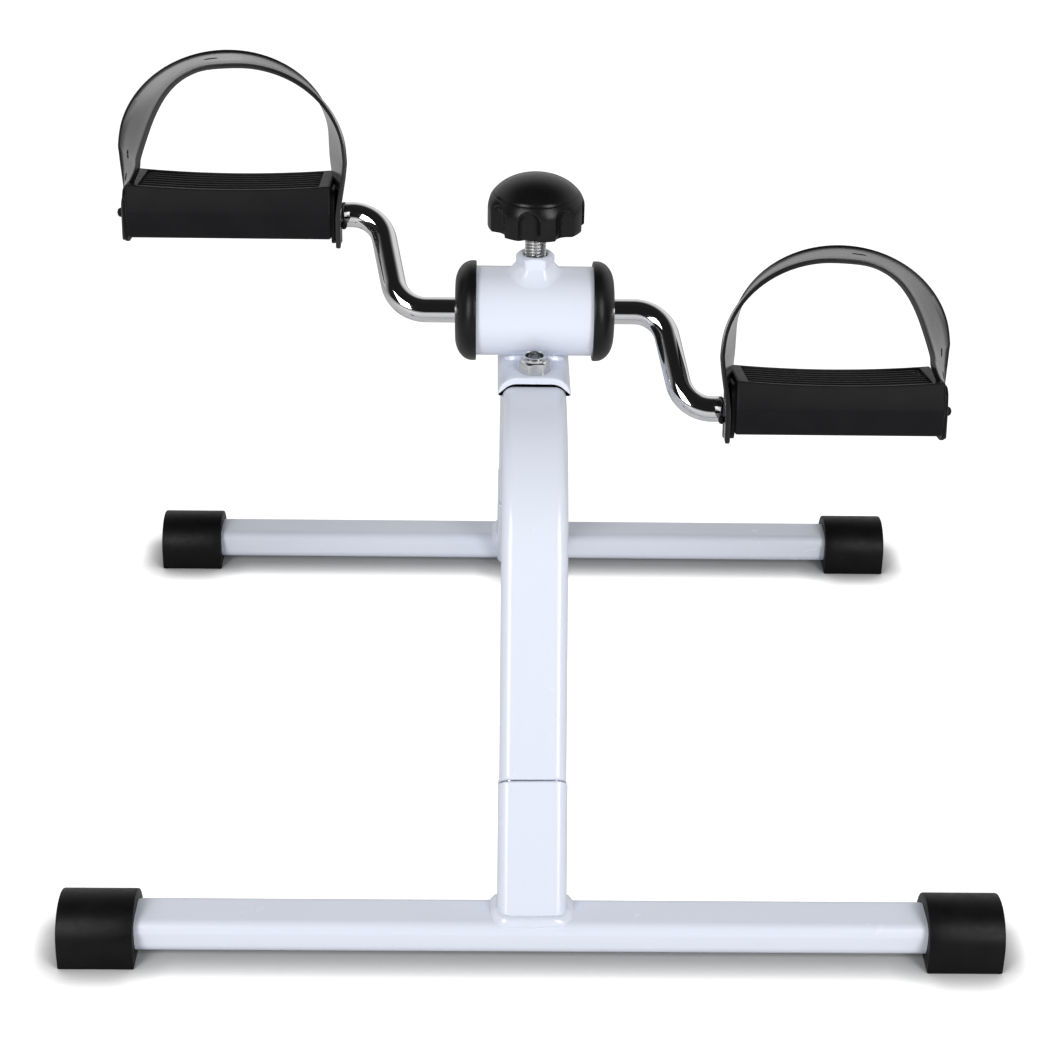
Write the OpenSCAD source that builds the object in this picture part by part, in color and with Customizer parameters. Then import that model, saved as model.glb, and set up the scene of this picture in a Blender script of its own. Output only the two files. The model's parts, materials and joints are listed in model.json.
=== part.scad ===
// Pedal exerciser: an arched tube frame on two foot tubes, a friction hub with a
// tension knob, a cranked steel bar and two strapped foot pedals.
// Units are millimetres. +X is to the right, +Y to the back, +Z up.
// The origin is on the floor, at the middle of the four feet.

/* [Base] */
// Overall width over the foot caps
base_width = 420; // [360:5:460]
// Distance between the two foot tubes, front to back
foot_spacing = 360; // [350:5:400]
// Depth of a foot tube, front to back
foot_tube_depth = 23; // [20:1:26]
// Height of a foot tube
foot_tube_height = 16; // [14:1:18]
// Height of the foot tube's axis above the floor
foot_axis_z = 11.4; // [11.2:0.1:12]
// Depth of a foot cap
cap_depth = 36; // [32:1:40]
// Length of a foot cap along the tube
cap_length = 34; // [28:1:40]

/* [Arch] */
// Outside width of the square arch tube
arch_width = 30; // [28:1:32]
// Outside width of the square stub tubes
stub_width = 31; // [30:1:33]
// Wall of all frame tubes
tube_wall = 1.5; // [1.2:0.1:2]
// Lean of each leg from the vertical, in degrees
leg_lean = 28.4; // [26:0.2:30]
// Distance from the foot tube's axis to the leg's axis, at floor tube height
leg_set_back = 6; // [4:1:8]
// Length of a stub along the leg, up to the joint
stub_length = 61; // [55:1:66]
// Bend radius of the arch, at the tube's axis
bend_radius = 76; // [70:1:80]
// Height of the arch's axis at its top
arch_axis_z = 194; // [190:1:198]

/* [Hub] */
// Height of the crank axle above the floor
hub_z = 233.3; // [233:0.1:234]
// Outside diameter of the hub tube
hub_diameter = 42; // [41:1:43]
// Half of the hub tube's visible length
hub_half_length = 27.3; // [26:0.1:29]
// Diameter of the plastic hub caps
hub_cap_diameter = 47; // [46:1:50]
// Thickness of a hub cap
hub_cap_thickness = 10; // [8:1:11]

/* [Crank] */
// Diameter of the crank bar
bar_diameter = 12; // [11:1:12]
// Distance from the axle to each spindle
crank_radius = 48.5; // [46:0.5:52]
// Angle of the left crank above the horizontal, towards the back, in degrees
crank_phase = 44.5; // [0:0.5:90]
// Where the axle and the arm would meet, from the middle
arm_inner_x = 62; // [60:1:64]
// Where the arm and the spindle would meet, from the middle
arm_outer_x = 72; // [70:1:74]
// Bend radius of the crank bar, at its axis
bar_bend_radius = 16; // [14:1:17]
// Sideways shift of the crank and its pedals, towards the right
crank_shift = -2; // [-4:1:4]

/* [Pedals] */
// Where a pedal body starts, from the middle
pedal_inner_x = 94; // [92:1:96]
// Length of a pedal body
pedal_length = 95.6; // [90:0.2:98]
// Depth of a pedal body, front to back
pedal_depth = 44; // [40:1:50]
// Height of a pedal's tread above its spindle
pedal_top = 17.5; // [16:0.5:19]
// Depth of a pedal's underside below its spindle
pedal_bottom = 8; // [7.5:0.5:10]
// Tilt of the left pedal, front edge up, in degrees
left_tilt = 8; // [0:0.5:15]
// Tilt of the right pedal, front edge up, in degrees
right_tilt = 13; // [0:0.5:15]
// Width of a foot strap
strap_width = 36; // [30:1:38]
// Height of a strap's top above the spindle
strap_top = 75.5; // [65:0.5:85]

/* [Tension] */
// Diameter of the tension screw
screw_diameter = 10; // [8:1:10]
// Diameter of the tension knob
knob_diameter = 45; // [40:1:50]
// Height of the knob's lower edge above the floor
knob_z = 275.8; // [274:0.1:280]
// Gap that the knob can still close before the brake is hard on
brake_gap = 0.8; // [0.8:0.1:1.2]

/* [Hidden] */
$fn = 64;

// colours
frame_white = [0.89, 0.91, 0.96];
rubber_black = [0.06, 0.06, 0.065];
plastic_black = [0.08, 0.08, 0.085];
tread_black = [0.04, 0.04, 0.045];
chrome = [0.75, 0.76, 0.78];
zinc = [0.7, 0.7, 0.7];
nylon = [0.85, 0.84, 0.8];

// clearances
running = 0.05;
slip = 0.1;
free = 0.3;
seam_lap = 0.1;
seam_collar = 0.4;
seam_rise = 0.03;

// base
half_spacing = foot_spacing / 2;
foot_tube_radius = 5;
foot_tube_end = base_width / 2 - 5.2;
foot_tube_top = foot_axis_z + foot_tube_height / 2;
cap_arch_z = 8.6;
stub_floor_z = 6;
weld_width = 39;
weld_height = 3.5;
weld_depth = 22;
weld_corner = 8;

// arch
arch_corner = 5.5;
joint_gap = 0.8;
leg_foot_y = half_spacing - leg_set_back;
leg_run = (arch_axis_z - foot_axis_z) / cos(leg_lean);
bend_angle = 90 - leg_lean;
bend_tangent = bend_radius * tan(bend_angle / 2);
arch_flat = leg_foot_y - leg_run * sin(leg_lean) - bend_tangent;
arch_start = stub_length + joint_gap;
bend_start = leg_run - bend_tangent;
arch_top_z = arch_axis_z + arch_width / 2;
sleeve_width = arch_width - 2 * tube_wall - 2 * slip;
sleeve_reach = 30;
joint_screw_s = stub_length + 16;
joint_screw_diameter = 6;
joint_screw_depth = 6;
joint_screw_head = [11, 3.4];

// saddle
saddle_width = arch_width + 4;
saddle_half_length = 33;
saddle_web = 2.5;
saddle_gap = 2;
saddle_bottom_z = 205;
saddle_corner = 6;
saddle_top_z = arch_top_z + saddle_gap + saddle_web;
bolt_y = 24.5;
bolt_diameter = 8;
bolt_hole = 8.5;
nut_flats = 13;
nut_height = 8;
bolt_head_height = 5.3;
washer_diameter = 16;

// hub
hub_radius = hub_diameter / 2;
hub_wall = 2;
hub_inner = hub_radius - hub_wall;
hub_end = hub_half_length + 2.5;
bush_start = 13;
block_half = 12;
block_top = -1;
shoe_bottom = 1.2;
shoe_top = 9.5;
shoe_depth = 24;
boss_flats = 16;
boss_top_z = hub_z + hub_radius + 8.2;
screw_hole = 11;
boss_weld_base = 31;
boss_weld_top = 19;
boss_weld_rise = 3.5;

// tension screw and knob
tip_diameter = 6;
tip_length = 1.8;
knob_height = 24.6;
knob_crease = 15.8;
knob_crease_radius = 20;
knob_lobes = 8;
knob_shoulder = 9.5;
knob_flute_radius = 5;
knob_flute_height = 9;
knob_skirt_radius = 14.5;
knob_neck_radius = 8;
knob_neck_drop = 5;
knob_thread_depth = 10;

// pedals
bar_radius = bar_diameter / 2;
spindle_radius = 5;
spindle_step_x = 90;
pedal_end_x = pedal_inner_x + pedal_length;
pedal_middle_x = pedal_inner_x + pedal_length / 2;
plate_thickness = 2;
sag_depth = 2;
sag_radius = pow(pedal_length / 2, 2) / (2 * sag_depth);
tread_border = 5.5;
tread_depth = 35;
tread_floor = pedal_top - 5;
groove_count = 7;
groove_width = 1.4;
groove_depth = 1.3;
bush_radius = 6.5;
bush_length = 12;
recess_radius = 7;
recess_depth = 6;
washer_x = pedal_end_x - recess_depth + free;
washer_thickness = 1;
washer_radius = 6.2;
clip_x = washer_x + washer_thickness + 2 * slip;
clip_thickness = 1.2;
clip_radius = 5.9;
facet_z = 5;
top_inset = 1.2;
bottom_inset = 1.8;
plate_depth = 36;
plate_height = 26;
plate_corner = 6;
plate_z = 2;
strap_thickness = 2.4;
strap_tail = 12;
strap_tail_z = -12;
strap_spring_z = 20;
peg_radius = 1.5;
peg_head_radius = 2.2;
inner_peg_reach = 3;
outer_peg_reach = 3;
peg_head = 2.4;
inner_peg_y = -13;
inner_peg_z = -2;

crank_y = crank_radius * cos(crank_phase);
crank_z = crank_radius * sin(crank_phase);

// A rectangle with round corners, centred
module rounded_rectangle(w, h, r) {
    square([w, h - 2 * r], center = true);
    square([w - 2 * r, h], center = true);
    for (x = [-1, 1])
        for (y = [-1, 1])
            translate([x * (w / 2 - r), y * (h / 2 - r)])
                circle(r = r);
}

// The wall of a rectangular tube, seen along its axis
module tube_section(w, h, r, wall) {
    difference() {
        rounded_rectangle(w, h, r);
        rounded_rectangle(w - 2 * wall, h - 2 * wall, r - wall);
    }
}

// Turns a drawing in Y and Z into a solid along X, from x0 to x1
module along_x(x0, x1) {
    translate([x0, 0, 0])
        rotate([90, 0, 90])
            linear_extrude(x1 - x0)
                children();
}

// A round bar along X
module bar_x(r, x0, x1) {
    translate([x0, 0, 0])
        rotate([0, 90, 0])
            cylinder(r = r, h = x1 - x0);
}

// Mirrors a front or right-hand shape to the back or the left
module at_back(back) {
    mirror([0, back ? 1 : 0, 0])
        children();
}

module at_left(left) {
    mirror([left ? 1 : 0, 0, 0])
        children();
}

// The front leg's own frame: Z runs up the leg from the foot tube
module leg_frame() {
    translate([0, -leg_foot_y, foot_axis_z])
        rotate([-leg_lean, 0, 0])
            children();
}

module foot_tube(back) {
    color(frame_white)
        at_back(back)
            translate([0, -half_spacing, foot_axis_z])
                along_x(-foot_tube_end, foot_tube_end)
                    tube_section(foot_tube_depth, foot_tube_height, foot_tube_radius, tube_wall);
}

// The foot tube's outside, filled
module foot_tube_solid() {
    translate([0, -half_spacing, foot_axis_z])
        along_x(-foot_tube_end, foot_tube_end)
            rounded_rectangle(foot_tube_depth, foot_tube_height, foot_tube_radius);
}

module stub_tube(back) {
    color(frame_white)
        at_back(back)
            difference() {
                leg_frame()
                    translate([0, 0, -10])
                        linear_extrude(stub_length + 10)
                            tube_section(stub_width, stub_width, arch_corner, tube_wall);
                foot_tube_solid();
                translate([-50, -half_spacing - 50, stub_floor_z - 60])
                    cube([100, 100, 60]);
                // the part in front of the foot tube is cut away
                translate([-50, -half_spacing - foot_tube_depth / 2 - 40, 0])
                    cube([100, 42, foot_tube_top]);
            }
}

module stub_weld(back) {
    color(frame_white)
        at_back(back)
            difference() {
                translate([0, -half_spacing, foot_tube_top])
                    linear_extrude(weld_height)
                        rounded_rectangle(weld_width, weld_depth, weld_corner);
                leg_frame()
                    translate([0, 0, -10])
                        linear_extrude(stub_length)
                            rounded_rectangle(stub_width, stub_width, arch_corner);
            }
}

// Half of the arch's path, filled: leg, bend, and a thin collar over each seam
module arch_half_solid(w, r) {
    leg_frame() {
        translate([0, 0, arch_start])
            linear_extrude(bend_start + seam_lap - arch_start)
                rounded_rectangle(w, w, r);
        translate([0, 0, bend_start])
            linear_extrude(seam_collar, center = true)
                rounded_rectangle(w + 2 * seam_rise, w + 2 * seam_rise, r + seam_rise);
    }
    translate([0, -arch_flat, arch_axis_z - bend_radius])
        rotate([90, 0, 90])
            rotate_extrude(angle = bend_angle, start = 90)
                translate([bend_radius, 0])
                    rounded_rectangle(w, w, r);
    translate([0, -arch_flat, arch_axis_z])
        rotate([90, 0, 0])
            linear_extrude(seam_collar, center = true)
                rounded_rectangle(w + 2 * seam_rise, w + 2 * seam_rise, r + seam_rise);
}

module arch_solid(w, r) {
    for (back = [false, true])
        at_back(back)
            arch_half_solid(w, r);
    translate([0, arch_flat + seam_lap, arch_axis_z])
        rotate([90, 0, 0])
            linear_extrude(2 * (arch_flat + seam_lap))
                rounded_rectangle(w, w, r);
}

module arch_tube() {
    color(frame_white)
        difference() {
            arch_solid(arch_width, arch_corner);
            arch_solid(arch_width - 2 * tube_wall, arch_corner - tube_wall);
            for (y = [-bolt_y, bolt_y])
                translate([0, y, arch_axis_z - arch_width])
                    cylinder(d = bolt_hole, h = 2 * arch_width);
            for (back = [false, true])
                at_back(back) {
                    joint_screw_hole();
                    // opens the bore at the leg's end
                    leg_frame()
                        translate([0, 0, arch_start - 1])
                            linear_extrude(2)
                                rounded_rectangle(arch_width - 2 * tube_wall, arch_width - 2 * tube_wall,
                                                  arch_corner - tube_wall);
                }
        }
}

// Hole through the inner face of a leg, just above the joint
module joint_screw_hole() {
    leg_frame()
        translate([0, 0, joint_screw_s])
            rotate([-90, 0, 0])
                cylinder(d = joint_screw_diameter + 2 * slip, h = arch_width);
}

module joiner_sleeve(back) {
    color(zinc)
        at_back(back)
            difference() {
                leg_frame()
                    translate([0, 0, stub_length - sleeve_reach])
                        linear_extrude(2 * sleeve_reach)
                            tube_section(sleeve_width, sleeve_width, arch_corner - tube_wall, tube_wall);
                joint_screw_hole();
            }
}

module joint_screws() {
    color(zinc)
        for (back = [false, true])
            at_back(back)
                leg_frame()
                    translate([0, arch_width / 2 + slip, joint_screw_s])
                        rotate([-90, 0, 0]) {
                            cylinder(d = joint_screw_head[0], h = joint_screw_head[1]);
                            translate([0, 0, -joint_screw_depth])
                                cylinder(d = joint_screw_diameter, h = joint_screw_depth + 1);
                        }
}

module foot_cap(back, left) {
    cap_x = base_width / 2 - cap_length;
    color(rubber_black)
        at_back(back)
            at_left(left)
                difference() {
                    intersection() {
                        translate([0, -half_spacing, 0])
                            along_x(cap_x, base_width / 2) {
                                translate([0, cap_arch_z])
                                    circle(d = cap_depth);
                                translate([-cap_depth / 2, 0])
                                    square([cap_depth, cap_arch_z]);
                            }
                        translate([cap_x - 1, -half_spacing - cap_depth, 0])
                            cube([cap_length + 2, 2 * cap_depth, cap_depth]);
                    }
                    translate([0, -half_spacing, foot_axis_z])
                        along_x(cap_x - 1, foot_tube_end + slip)
                            rounded_rectangle(foot_tube_depth + 2 * slip, foot_tube_height + 2 * slip,
                                              foot_tube_radius + slip);
                }
}

module saddle_bracket() {
    inner_width = arch_width + 2 * slip;
    color(frame_white)
        difference() {
            translate([0, saddle_half_length, 0])
                rotate([90, 0, 0])
                    linear_extrude(2 * saddle_half_length)
                        intersection() {
                            difference() {
                                translate([0, saddle_top_z - saddle_width / 2])
                                    rounded_rectangle(saddle_width, saddle_width, saddle_corner);
                                translate([0, saddle_top_z - saddle_web - inner_width / 2])
                                    rounded_rectangle(inner_width, inner_width, saddle_corner - 1.5);
                            }
                            translate([-saddle_width, saddle_bottom_z])
                                square([2 * saddle_width, saddle_width]);
                        }
            translate([0, 0, hub_z])
                bar_x(hub_radius, -saddle_width, saddle_width);
            for (y = [-bolt_y, bolt_y])
                translate([0, y, saddle_bottom_z])
                    cylinder(d = bolt_hole, h = saddle_width);
        }
}

module saddle_bolts() {
    head_z = arch_axis_z - arch_width / 2;
    color(zinc)
        for (y = [-bolt_y, bolt_y])
            translate([0, y, 0]) {
                translate([0, 0, head_z - bolt_head_height])
                    cylinder(d = nut_flats / cos(30), h = bolt_head_height, $fn = 6);
                translate([0, 0, head_z - 1])
                    cylinder(d = bolt_diameter, h = saddle_top_z + nut_height - 1 - head_z);
            }
}

module saddle_washers() {
    color(zinc)
        for (y = [-bolt_y, bolt_y])
            translate([0, y, arch_top_z])
                difference() {
                    cylinder(d = washer_diameter, h = saddle_gap);
                    translate([0, 0, -1])
                        cylinder(d = bolt_hole, h = saddle_gap + 2);
                }
}

module saddle_nuts() {
    color(zinc)
        for (y = [-bolt_y, bolt_y])
            translate([0, y, saddle_top_z])
                difference() {
                    cylinder(d = nut_flats / cos(30), h = nut_height, $fn = 6);
                    translate([0, 0, -1])
                        cylinder(d = bolt_diameter + 2 * running, h = nut_height + 2);
                }
}

module hub_tube() {
    color(frame_white)
        translate([0, 0, hub_z])
            difference() {
                bar_x(hub_radius, -hub_end, hub_end);
                bar_x(hub_inner, -hub_end - 1, hub_end + 1);
                cylinder(d = screw_hole, h = hub_diameter);
            }
}

// Fillet beads where the hub lies on the saddle
module hub_weld() {
    bead_x = 14;
    color(frame_white)
        for (back = [false, true])
            at_back(back)
                difference() {
                    along_x(-bead_x, bead_x)
                        polygon([[-15, saddle_top_z], [-6, saddle_top_z], [-6, saddle_top_z + 3],
                                 [-12.8, saddle_top_z + 3]]);
                    translate([0, 0, hub_z])
                        bar_x(hub_radius, -hub_diameter, hub_diameter);
                }
}

module tension_boss() {
    color(frame_white)
        difference() {
            translate([0, 0, hub_z])
                cylinder(d = boss_flats / cos(30), h = boss_top_z - hub_z, $fn = 6);
            translate([0, 0, hub_z])
                bar_x(hub_radius, -hub_diameter, hub_diameter);
            translate([0, 0, hub_z])
                cylinder(d = screw_diameter + 2 * running, h = hub_diameter);
        }
}

module boss_weld() {
    color(frame_white)
        difference() {
            translate([0, 0, hub_z])
                cylinder(d1 = boss_weld_base, d2 = boss_weld_top, h = hub_radius + boss_weld_rise);
            translate([0, 0, hub_z])
                bar_x(hub_radius, -hub_diameter, hub_diameter);
            translate([0, 0, hub_z])
                cylinder(d = boss_flats / cos(30), h = hub_diameter, $fn = 6);
        }
}

module hub_cap(left) {
    edge = 6;
    cap_r = hub_cap_diameter / 2;
    color(plastic_black)
        translate([0, 0, hub_z])
            at_left(left)
                difference() {
                    translate([hub_half_length, 0, 0])
                        rotate([0, 90, 0])
                            rotate_extrude() {
                                square([cap_r - edge, hub_cap_thickness]);
                                square([cap_r, hub_cap_thickness - edge]);
                                translate([cap_r - edge, hub_cap_thickness - edge])
                                    intersection() {
                                        circle(r = edge);
                                        square(edge);
                                    }
                            }
                    bar_x(hub_radius + slip, hub_half_length - 1, hub_end);
                    bar_x(bar_radius + free, 0, hub_diameter);
                }
}

module bearing_bush(left) {
    color(nylon)
        translate([0, 0, hub_z])
            at_left(left)
                difference() {
                    bar_x(hub_inner - slip, bush_start, hub_end - 0.4);
                    bar_x(bar_radius + running, 0, hub_diameter);
                }
}

module lower_brake_block() {
    color(nylon)
        translate([0, 0, hub_z])
            along_x(-block_half, block_half)
                difference() {
                    circle(r = hub_inner - slip);
                    circle(r = bar_radius + running);
                    translate([-hub_radius, block_top])
                        square([hub_diameter, hub_diameter]);
                }
}

module brake_shoe() {
    color(nylon)
        translate([0, 0, hub_z])
            difference() {
                along_x(-block_half, block_half)
                    difference() {
                        translate([-shoe_depth / 2, shoe_bottom])
                            square([shoe_depth, shoe_top - shoe_bottom]);
                        translate([0, brake_gap])
                            circle(r = bar_radius + running);
                    }
                translate([0, 0, shoe_top - tip_length - slip])
                    cylinder(d = tip_diameter + 2 * running, h = hub_radius);
            }
}

module tension_screw() {
    screw_z = hub_z + shoe_top + running;
    color(chrome)
        translate([0, 0, screw_z]) {
            cylinder(d = screw_diameter, h = knob_z + knob_thread_depth - screw_z);
            translate([0, 0, -tip_length])
                cylinder(d = tip_diameter, h = tip_length + 1);
        }
}

// Half outline of the knob, from its lower edge to the middle of its dome
function knob_outline() = let (
        r = knob_diameter / 2,
        dome_rise = knob_height - knob_crease,
        dome_r = (pow(knob_crease_radius, 2) + pow(dome_rise, 2)) / (2 * dome_rise),
        dome_span = asin(knob_crease_radius / dome_r)
    ) concat(
        [[0, 0], [r - 1, 0], [r, 1], [r, knob_shoulder]],
        [for (a = [20:20:60]) [knob_crease_radius + (r - knob_crease_radius) * cos(a),
                               knob_shoulder + (knob_crease - knob_shoulder) * sin(a)]],
        [for (i = [5:-1:0]) [dome_r * sin(dome_span * i / 5),
                             knob_height - dome_r * (1 - cos(dome_span * i / 5))]]
    );

module tension_knob() {
    color(plastic_black)
        translate([0, 0, knob_z])
            difference() {
                union() {
                    difference() {
                        rotate_extrude()
                            polygon(knob_outline());
                        for (i = [0:knob_lobes - 1])
                            rotate([0, 0, 360 / knob_lobes * (i - 0.2)])
                                translate([0, -knob_diameter / 2 - 2, 0]) {
                                    translate([0, 0, -1])
                                        cylinder(r = knob_flute_radius, h = knob_flute_height + 1);
                                    translate([0, 0, knob_flute_height])
                                        sphere(r = knob_flute_radius);
                                }
                        translate([0, 0, -1])
                            cylinder(r = knob_skirt_radius, h = knob_flute_height);
                    }
                    translate([0, 0, -knob_neck_drop])
                        cylinder(r = knob_neck_radius, h = knob_neck_drop + knob_flute_height + 1);
                }
                translate([0, 0, -knob_neck_drop - 1])
                    cylinder(d = screw_diameter + 2 * running,
                             h = knob_neck_drop + 1 + knob_thread_depth + running);
            }
}

// The crank's own frame: X along the axle, Y towards the left spindle
module crank_frame() {
    translate([crank_shift, 0, hub_z])
        rotate([crank_phase, 0, 0])
            children();
}

// A thin collar over the seam between a straight and a bend
module bar_seam(x) {
    bar_x(bar_radius + seam_rise, x - seam_collar / 2, x + seam_collar / 2);
}

// A bend that starts at the origin along +X and turns towards -Y
module bar_bend(angle) {
    translate([0, -bar_bend_radius, 0])
        rotate([0, 0, 90 - angle])
            rotate_extrude(angle = angle)
                translate([bar_bend_radius, 0])
                    circle(r = bar_radius);
}

// Half of the crank, with its spindle on +X and -Y
module crank_half() {
    arm_angle = atan2(crank_radius, arm_outer_x - arm_inner_x);
    tangent = bar_bend_radius * tan(arm_angle / 2);
    arm_length = norm([crank_radius, arm_outer_x - arm_inner_x]);
    bend_in_x = arm_inner_x - tangent;
    bend_out_x = arm_outer_x + tangent;
    bar_seam(bend_in_x);
    translate([bend_in_x, 0, 0])
        bar_bend(arm_angle);
    translate([arm_inner_x, 0, 0])
        rotate([0, 0, -arm_angle]) {
            bar_x(bar_radius, tangent - seam_lap, arm_length - tangent + seam_lap);
            bar_seam(tangent);
            bar_seam(arm_length - tangent);
        }
    translate([bend_out_x, -crank_radius, 0]) {
        rotate([0, 0, 180])
            bar_bend(arm_angle);
        bar_seam(0);
        bar_x(bar_radius, -seam_lap, spindle_step_x - bend_out_x);
        bar_x(spindle_radius, 0, pedal_end_x - 1 - bend_out_x);
    }
}

module crank_bar() {
    arm_angle = atan2(crank_radius, arm_outer_x - arm_inner_x);
    axle_end = arm_inner_x - bar_bend_radius * tan(arm_angle / 2) + seam_lap;
    color(chrome)
        crank_frame() {
            bar_x(bar_radius, -axle_end, axle_end);
            crank_half();
            rotate([0, 0, 180])
                crank_half();
        }
}

// A frame on a pedal's spindle: X counts outwards from the crank's middle,
// Y runs to the back and Z is square to the tread
module pedal_frame(left) {
    side = left ? 1 : -1;
    translate([crank_shift, side * crank_y, hub_z + side * crank_z])
        rotate([left ? -left_tilt : -right_tilt, 0, 0])
            at_left(left)
                children();
}

module spindle_ring(left, x0, x1, r) {
    color(zinc)
        pedal_frame(left)
            difference() {
                bar_x(r, x0, x1);
                bar_x(spindle_radius + running, x0 - 1, x1 + 1);
            }
}

module spindle_washer(left) {
    spindle_ring(left, washer_x, washer_x + washer_thickness, washer_radius);
}

module spindle_clip(left) {
    spindle_ring(left, clip_x, clip_x + clip_thickness, clip_radius);
}

// The dished upper face that the body and the tread share
module sag_cutter(depth) {
    translate([pedal_middle_x, depth, pedal_top + sag_radius - sag_depth])
        rotate([90, 0, 0])
            cylinder(r = sag_radius, h = 2 * depth, $fn = 720);
}

module pedal_body(left) {
    half = pedal_depth / 2;
    color(plastic_black)
        pedal_frame(left)
            difference() {
                along_x(pedal_inner_x, pedal_end_x)
                    polygon([[-half + top_inset, pedal_top], [-half, facet_z],
                             [-half + bottom_inset, -pedal_bottom], [half - bottom_inset, -pedal_bottom],
                             [half, facet_z], [half - top_inset, pedal_top]]);
                sag_cutter(pedal_depth);
                translate([pedal_inner_x + tread_border, -tread_depth / 2, tread_floor])
                    cube([pedal_length - 2 * tread_border, tread_depth, pedal_top]);
                bar_x(spindle_radius + 1, 0, pedal_end_x + 1);
                bar_x(bush_radius + slip, 0, pedal_inner_x + bush_length);
                bar_x(bush_radius + slip, pedal_end_x - recess_depth - bush_length, pedal_end_x + 1);
                bar_x(recess_radius, pedal_end_x - recess_depth, pedal_end_x + 1);
            }
}

module pedal_tread(left) {
    pitch = tread_depth / groove_count;
    color(tread_black)
        pedal_frame(left)
            difference() {
                translate([pedal_inner_x + tread_border + slip, -tread_depth / 2 + slip, tread_floor])
                    cube([pedal_length - 2 * (tread_border + slip), tread_depth - 2 * slip, pedal_top]);
                sag_cutter(pedal_depth);
                translate([0, -pedal_depth, pedal_top])
                    cube([2 * pedal_end_x, 2 * pedal_depth, sag_radius]);
                for (i = [0:groove_count - 1])
                    translate([0, pitch * (i - (groove_count - 1) / 2) - groove_width / 2,
                               pedal_top - sag_depth - groove_depth])
                        cube([2 * pedal_end_x, groove_width, pedal_top]);
            }
}

module plate_outline() {
    translate([0, plate_z])
        rounded_rectangle(plate_depth, plate_height, plate_corner);
}

module inboard_plate(left) {
    plate_x = pedal_inner_x - plate_thickness;
    color(plastic_black)
        pedal_frame(left) {
            difference() {
                along_x(plate_x, pedal_inner_x)
                    plate_outline();
                bar_x(spindle_radius + free, 0, pedal_end_x);
            }
            translate([0, inner_peg_y, inner_peg_z]) {
                bar_x(peg_radius, plate_x - inner_peg_reach, plate_x + 1);
                bar_x(peg_head_radius, plate_x - inner_peg_reach - peg_head, plate_x - inner_peg_reach);
            }
        }
}

module outboard_plate(left) {
    plate_x = pedal_end_x + plate_thickness;
    color(plastic_black)
        pedal_frame(left) {
            along_x(pedal_end_x, plate_x)
                plate_outline();
            bar_x(peg_radius, plate_x - 1, plate_x + outer_peg_reach);
            bar_x(peg_head_radius, plate_x + outer_peg_reach, plate_x + outer_peg_reach + peg_head);
        }
}

module pedal_bushes(left) {
    color(nylon)
        pedal_frame(left)
            difference() {
                union() {
                    bar_x(bush_radius, pedal_inner_x, pedal_inner_x + bush_length);
                    bar_x(bush_radius, pedal_end_x - recess_depth - bush_length, pedal_end_x - recess_depth);
                }
                bar_x(spindle_radius + running, 0, pedal_end_x);
            }
}

// Arc of the strap in X and Z, for a given half width and rise
function strap_arc(half_width, rise) =
    [for (a = [0:7.5:180]) [pedal_middle_x + half_width * cos(a), strap_spring_z + rise * sin(a)]];

module foot_strap(left) {
    tail_in = pedal_inner_x - plate_thickness - slip;
    tail_out = pedal_end_x + plate_thickness + slip;
    half_width = (tail_out - tail_in) / 2 + strap_thickness;
    rise = strap_top - strap_spring_z;
    color(rubber_black)
        pedal_frame(left)
            difference() {
                union() {
                    translate([0, strap_width / 2, 0])
                        rotate([90, 0, 0])
                            linear_extrude(strap_width)
                                difference() {
                                    polygon(strap_arc(half_width, rise));
                                    polygon(strap_arc(half_width - strap_thickness, rise - strap_thickness));
                                }
                    translate([tail_in - strap_thickness, inner_peg_y - strap_tail / 2, strap_tail_z])
                        cube([strap_thickness, strap_tail, strap_spring_z - strap_tail_z]);
                    translate([tail_out, -strap_tail / 2, strap_tail_z])
                        cube([strap_thickness, strap_tail, strap_spring_z - strap_tail_z]);
                }
                translate([0, inner_peg_y, inner_peg_z])
                    bar_x(peg_radius + slip, 0, pedal_middle_x);
                bar_x(peg_radius + slip, pedal_middle_x, 2 * pedal_end_x);
            }
}

foot_tube(false);  // front_foot_tube
foot_tube(true);  // rear_foot_tube
stub_tube(false);  // front_stub_tube
stub_tube(true);  // rear_stub_tube
stub_weld(false);  // front_stub_weld
stub_weld(true);  // rear_stub_weld
arch_tube();
joiner_sleeve(false);  // front_joiner_sleeve
joiner_sleeve(true);  // rear_joiner_sleeve
joint_screws();
foot_cap(false, true);  // front_left_foot_cap
foot_cap(false, false);  // front_right_foot_cap
foot_cap(true, true);  // rear_left_foot_cap
foot_cap(true, false);  // rear_right_foot_cap
saddle_bracket();
saddle_bolts();
saddle_washers();
saddle_nuts();
hub_tube();
hub_weld();
tension_boss();
boss_weld();
hub_cap(true);  // left_hub_cap
hub_cap(false);  // right_hub_cap
bearing_bush(true);  // left_bearing_bush
bearing_bush(false);  // right_bearing_bush
lower_brake_block();
brake_shoe();
tension_screw();
tension_knob();
crank_bar();
spindle_washer(true);  // left_spindle_washer
spindle_washer(false);  // right_spindle_washer
spindle_clip(true);  // left_spindle_clip
spindle_clip(false);  // right_spindle_clip
pedal_body(true);  // left_pedal_body
pedal_body(false);  // right_pedal_body
pedal_tread(true);  // left_pedal_tread
pedal_tread(false);  // right_pedal_tread
inboard_plate(true);  // left_inboard_plate
inboard_plate(false);  // right_inboard_plate
outboard_plate(true);  // left_outboard_plate
outboard_plate(false);  // right_outboard_plate
pedal_bushes(true);  // left_pedal_bushes
pedal_bushes(false);  // right_pedal_bushes
foot_strap(true);  // left_foot_strap
foot_strap(false);  // right_foot_strap
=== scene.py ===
"""Looks of the pedal exerciser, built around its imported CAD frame.

Shapes are worked out in millimetres and become metres when a piece is made.
"""

import json
from math import acos, atan2, copysign, cos, pi, radians, sin, sqrt, tan

import bmesh
import bpy
from mathutils import Matrix, Vector, noise

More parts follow.
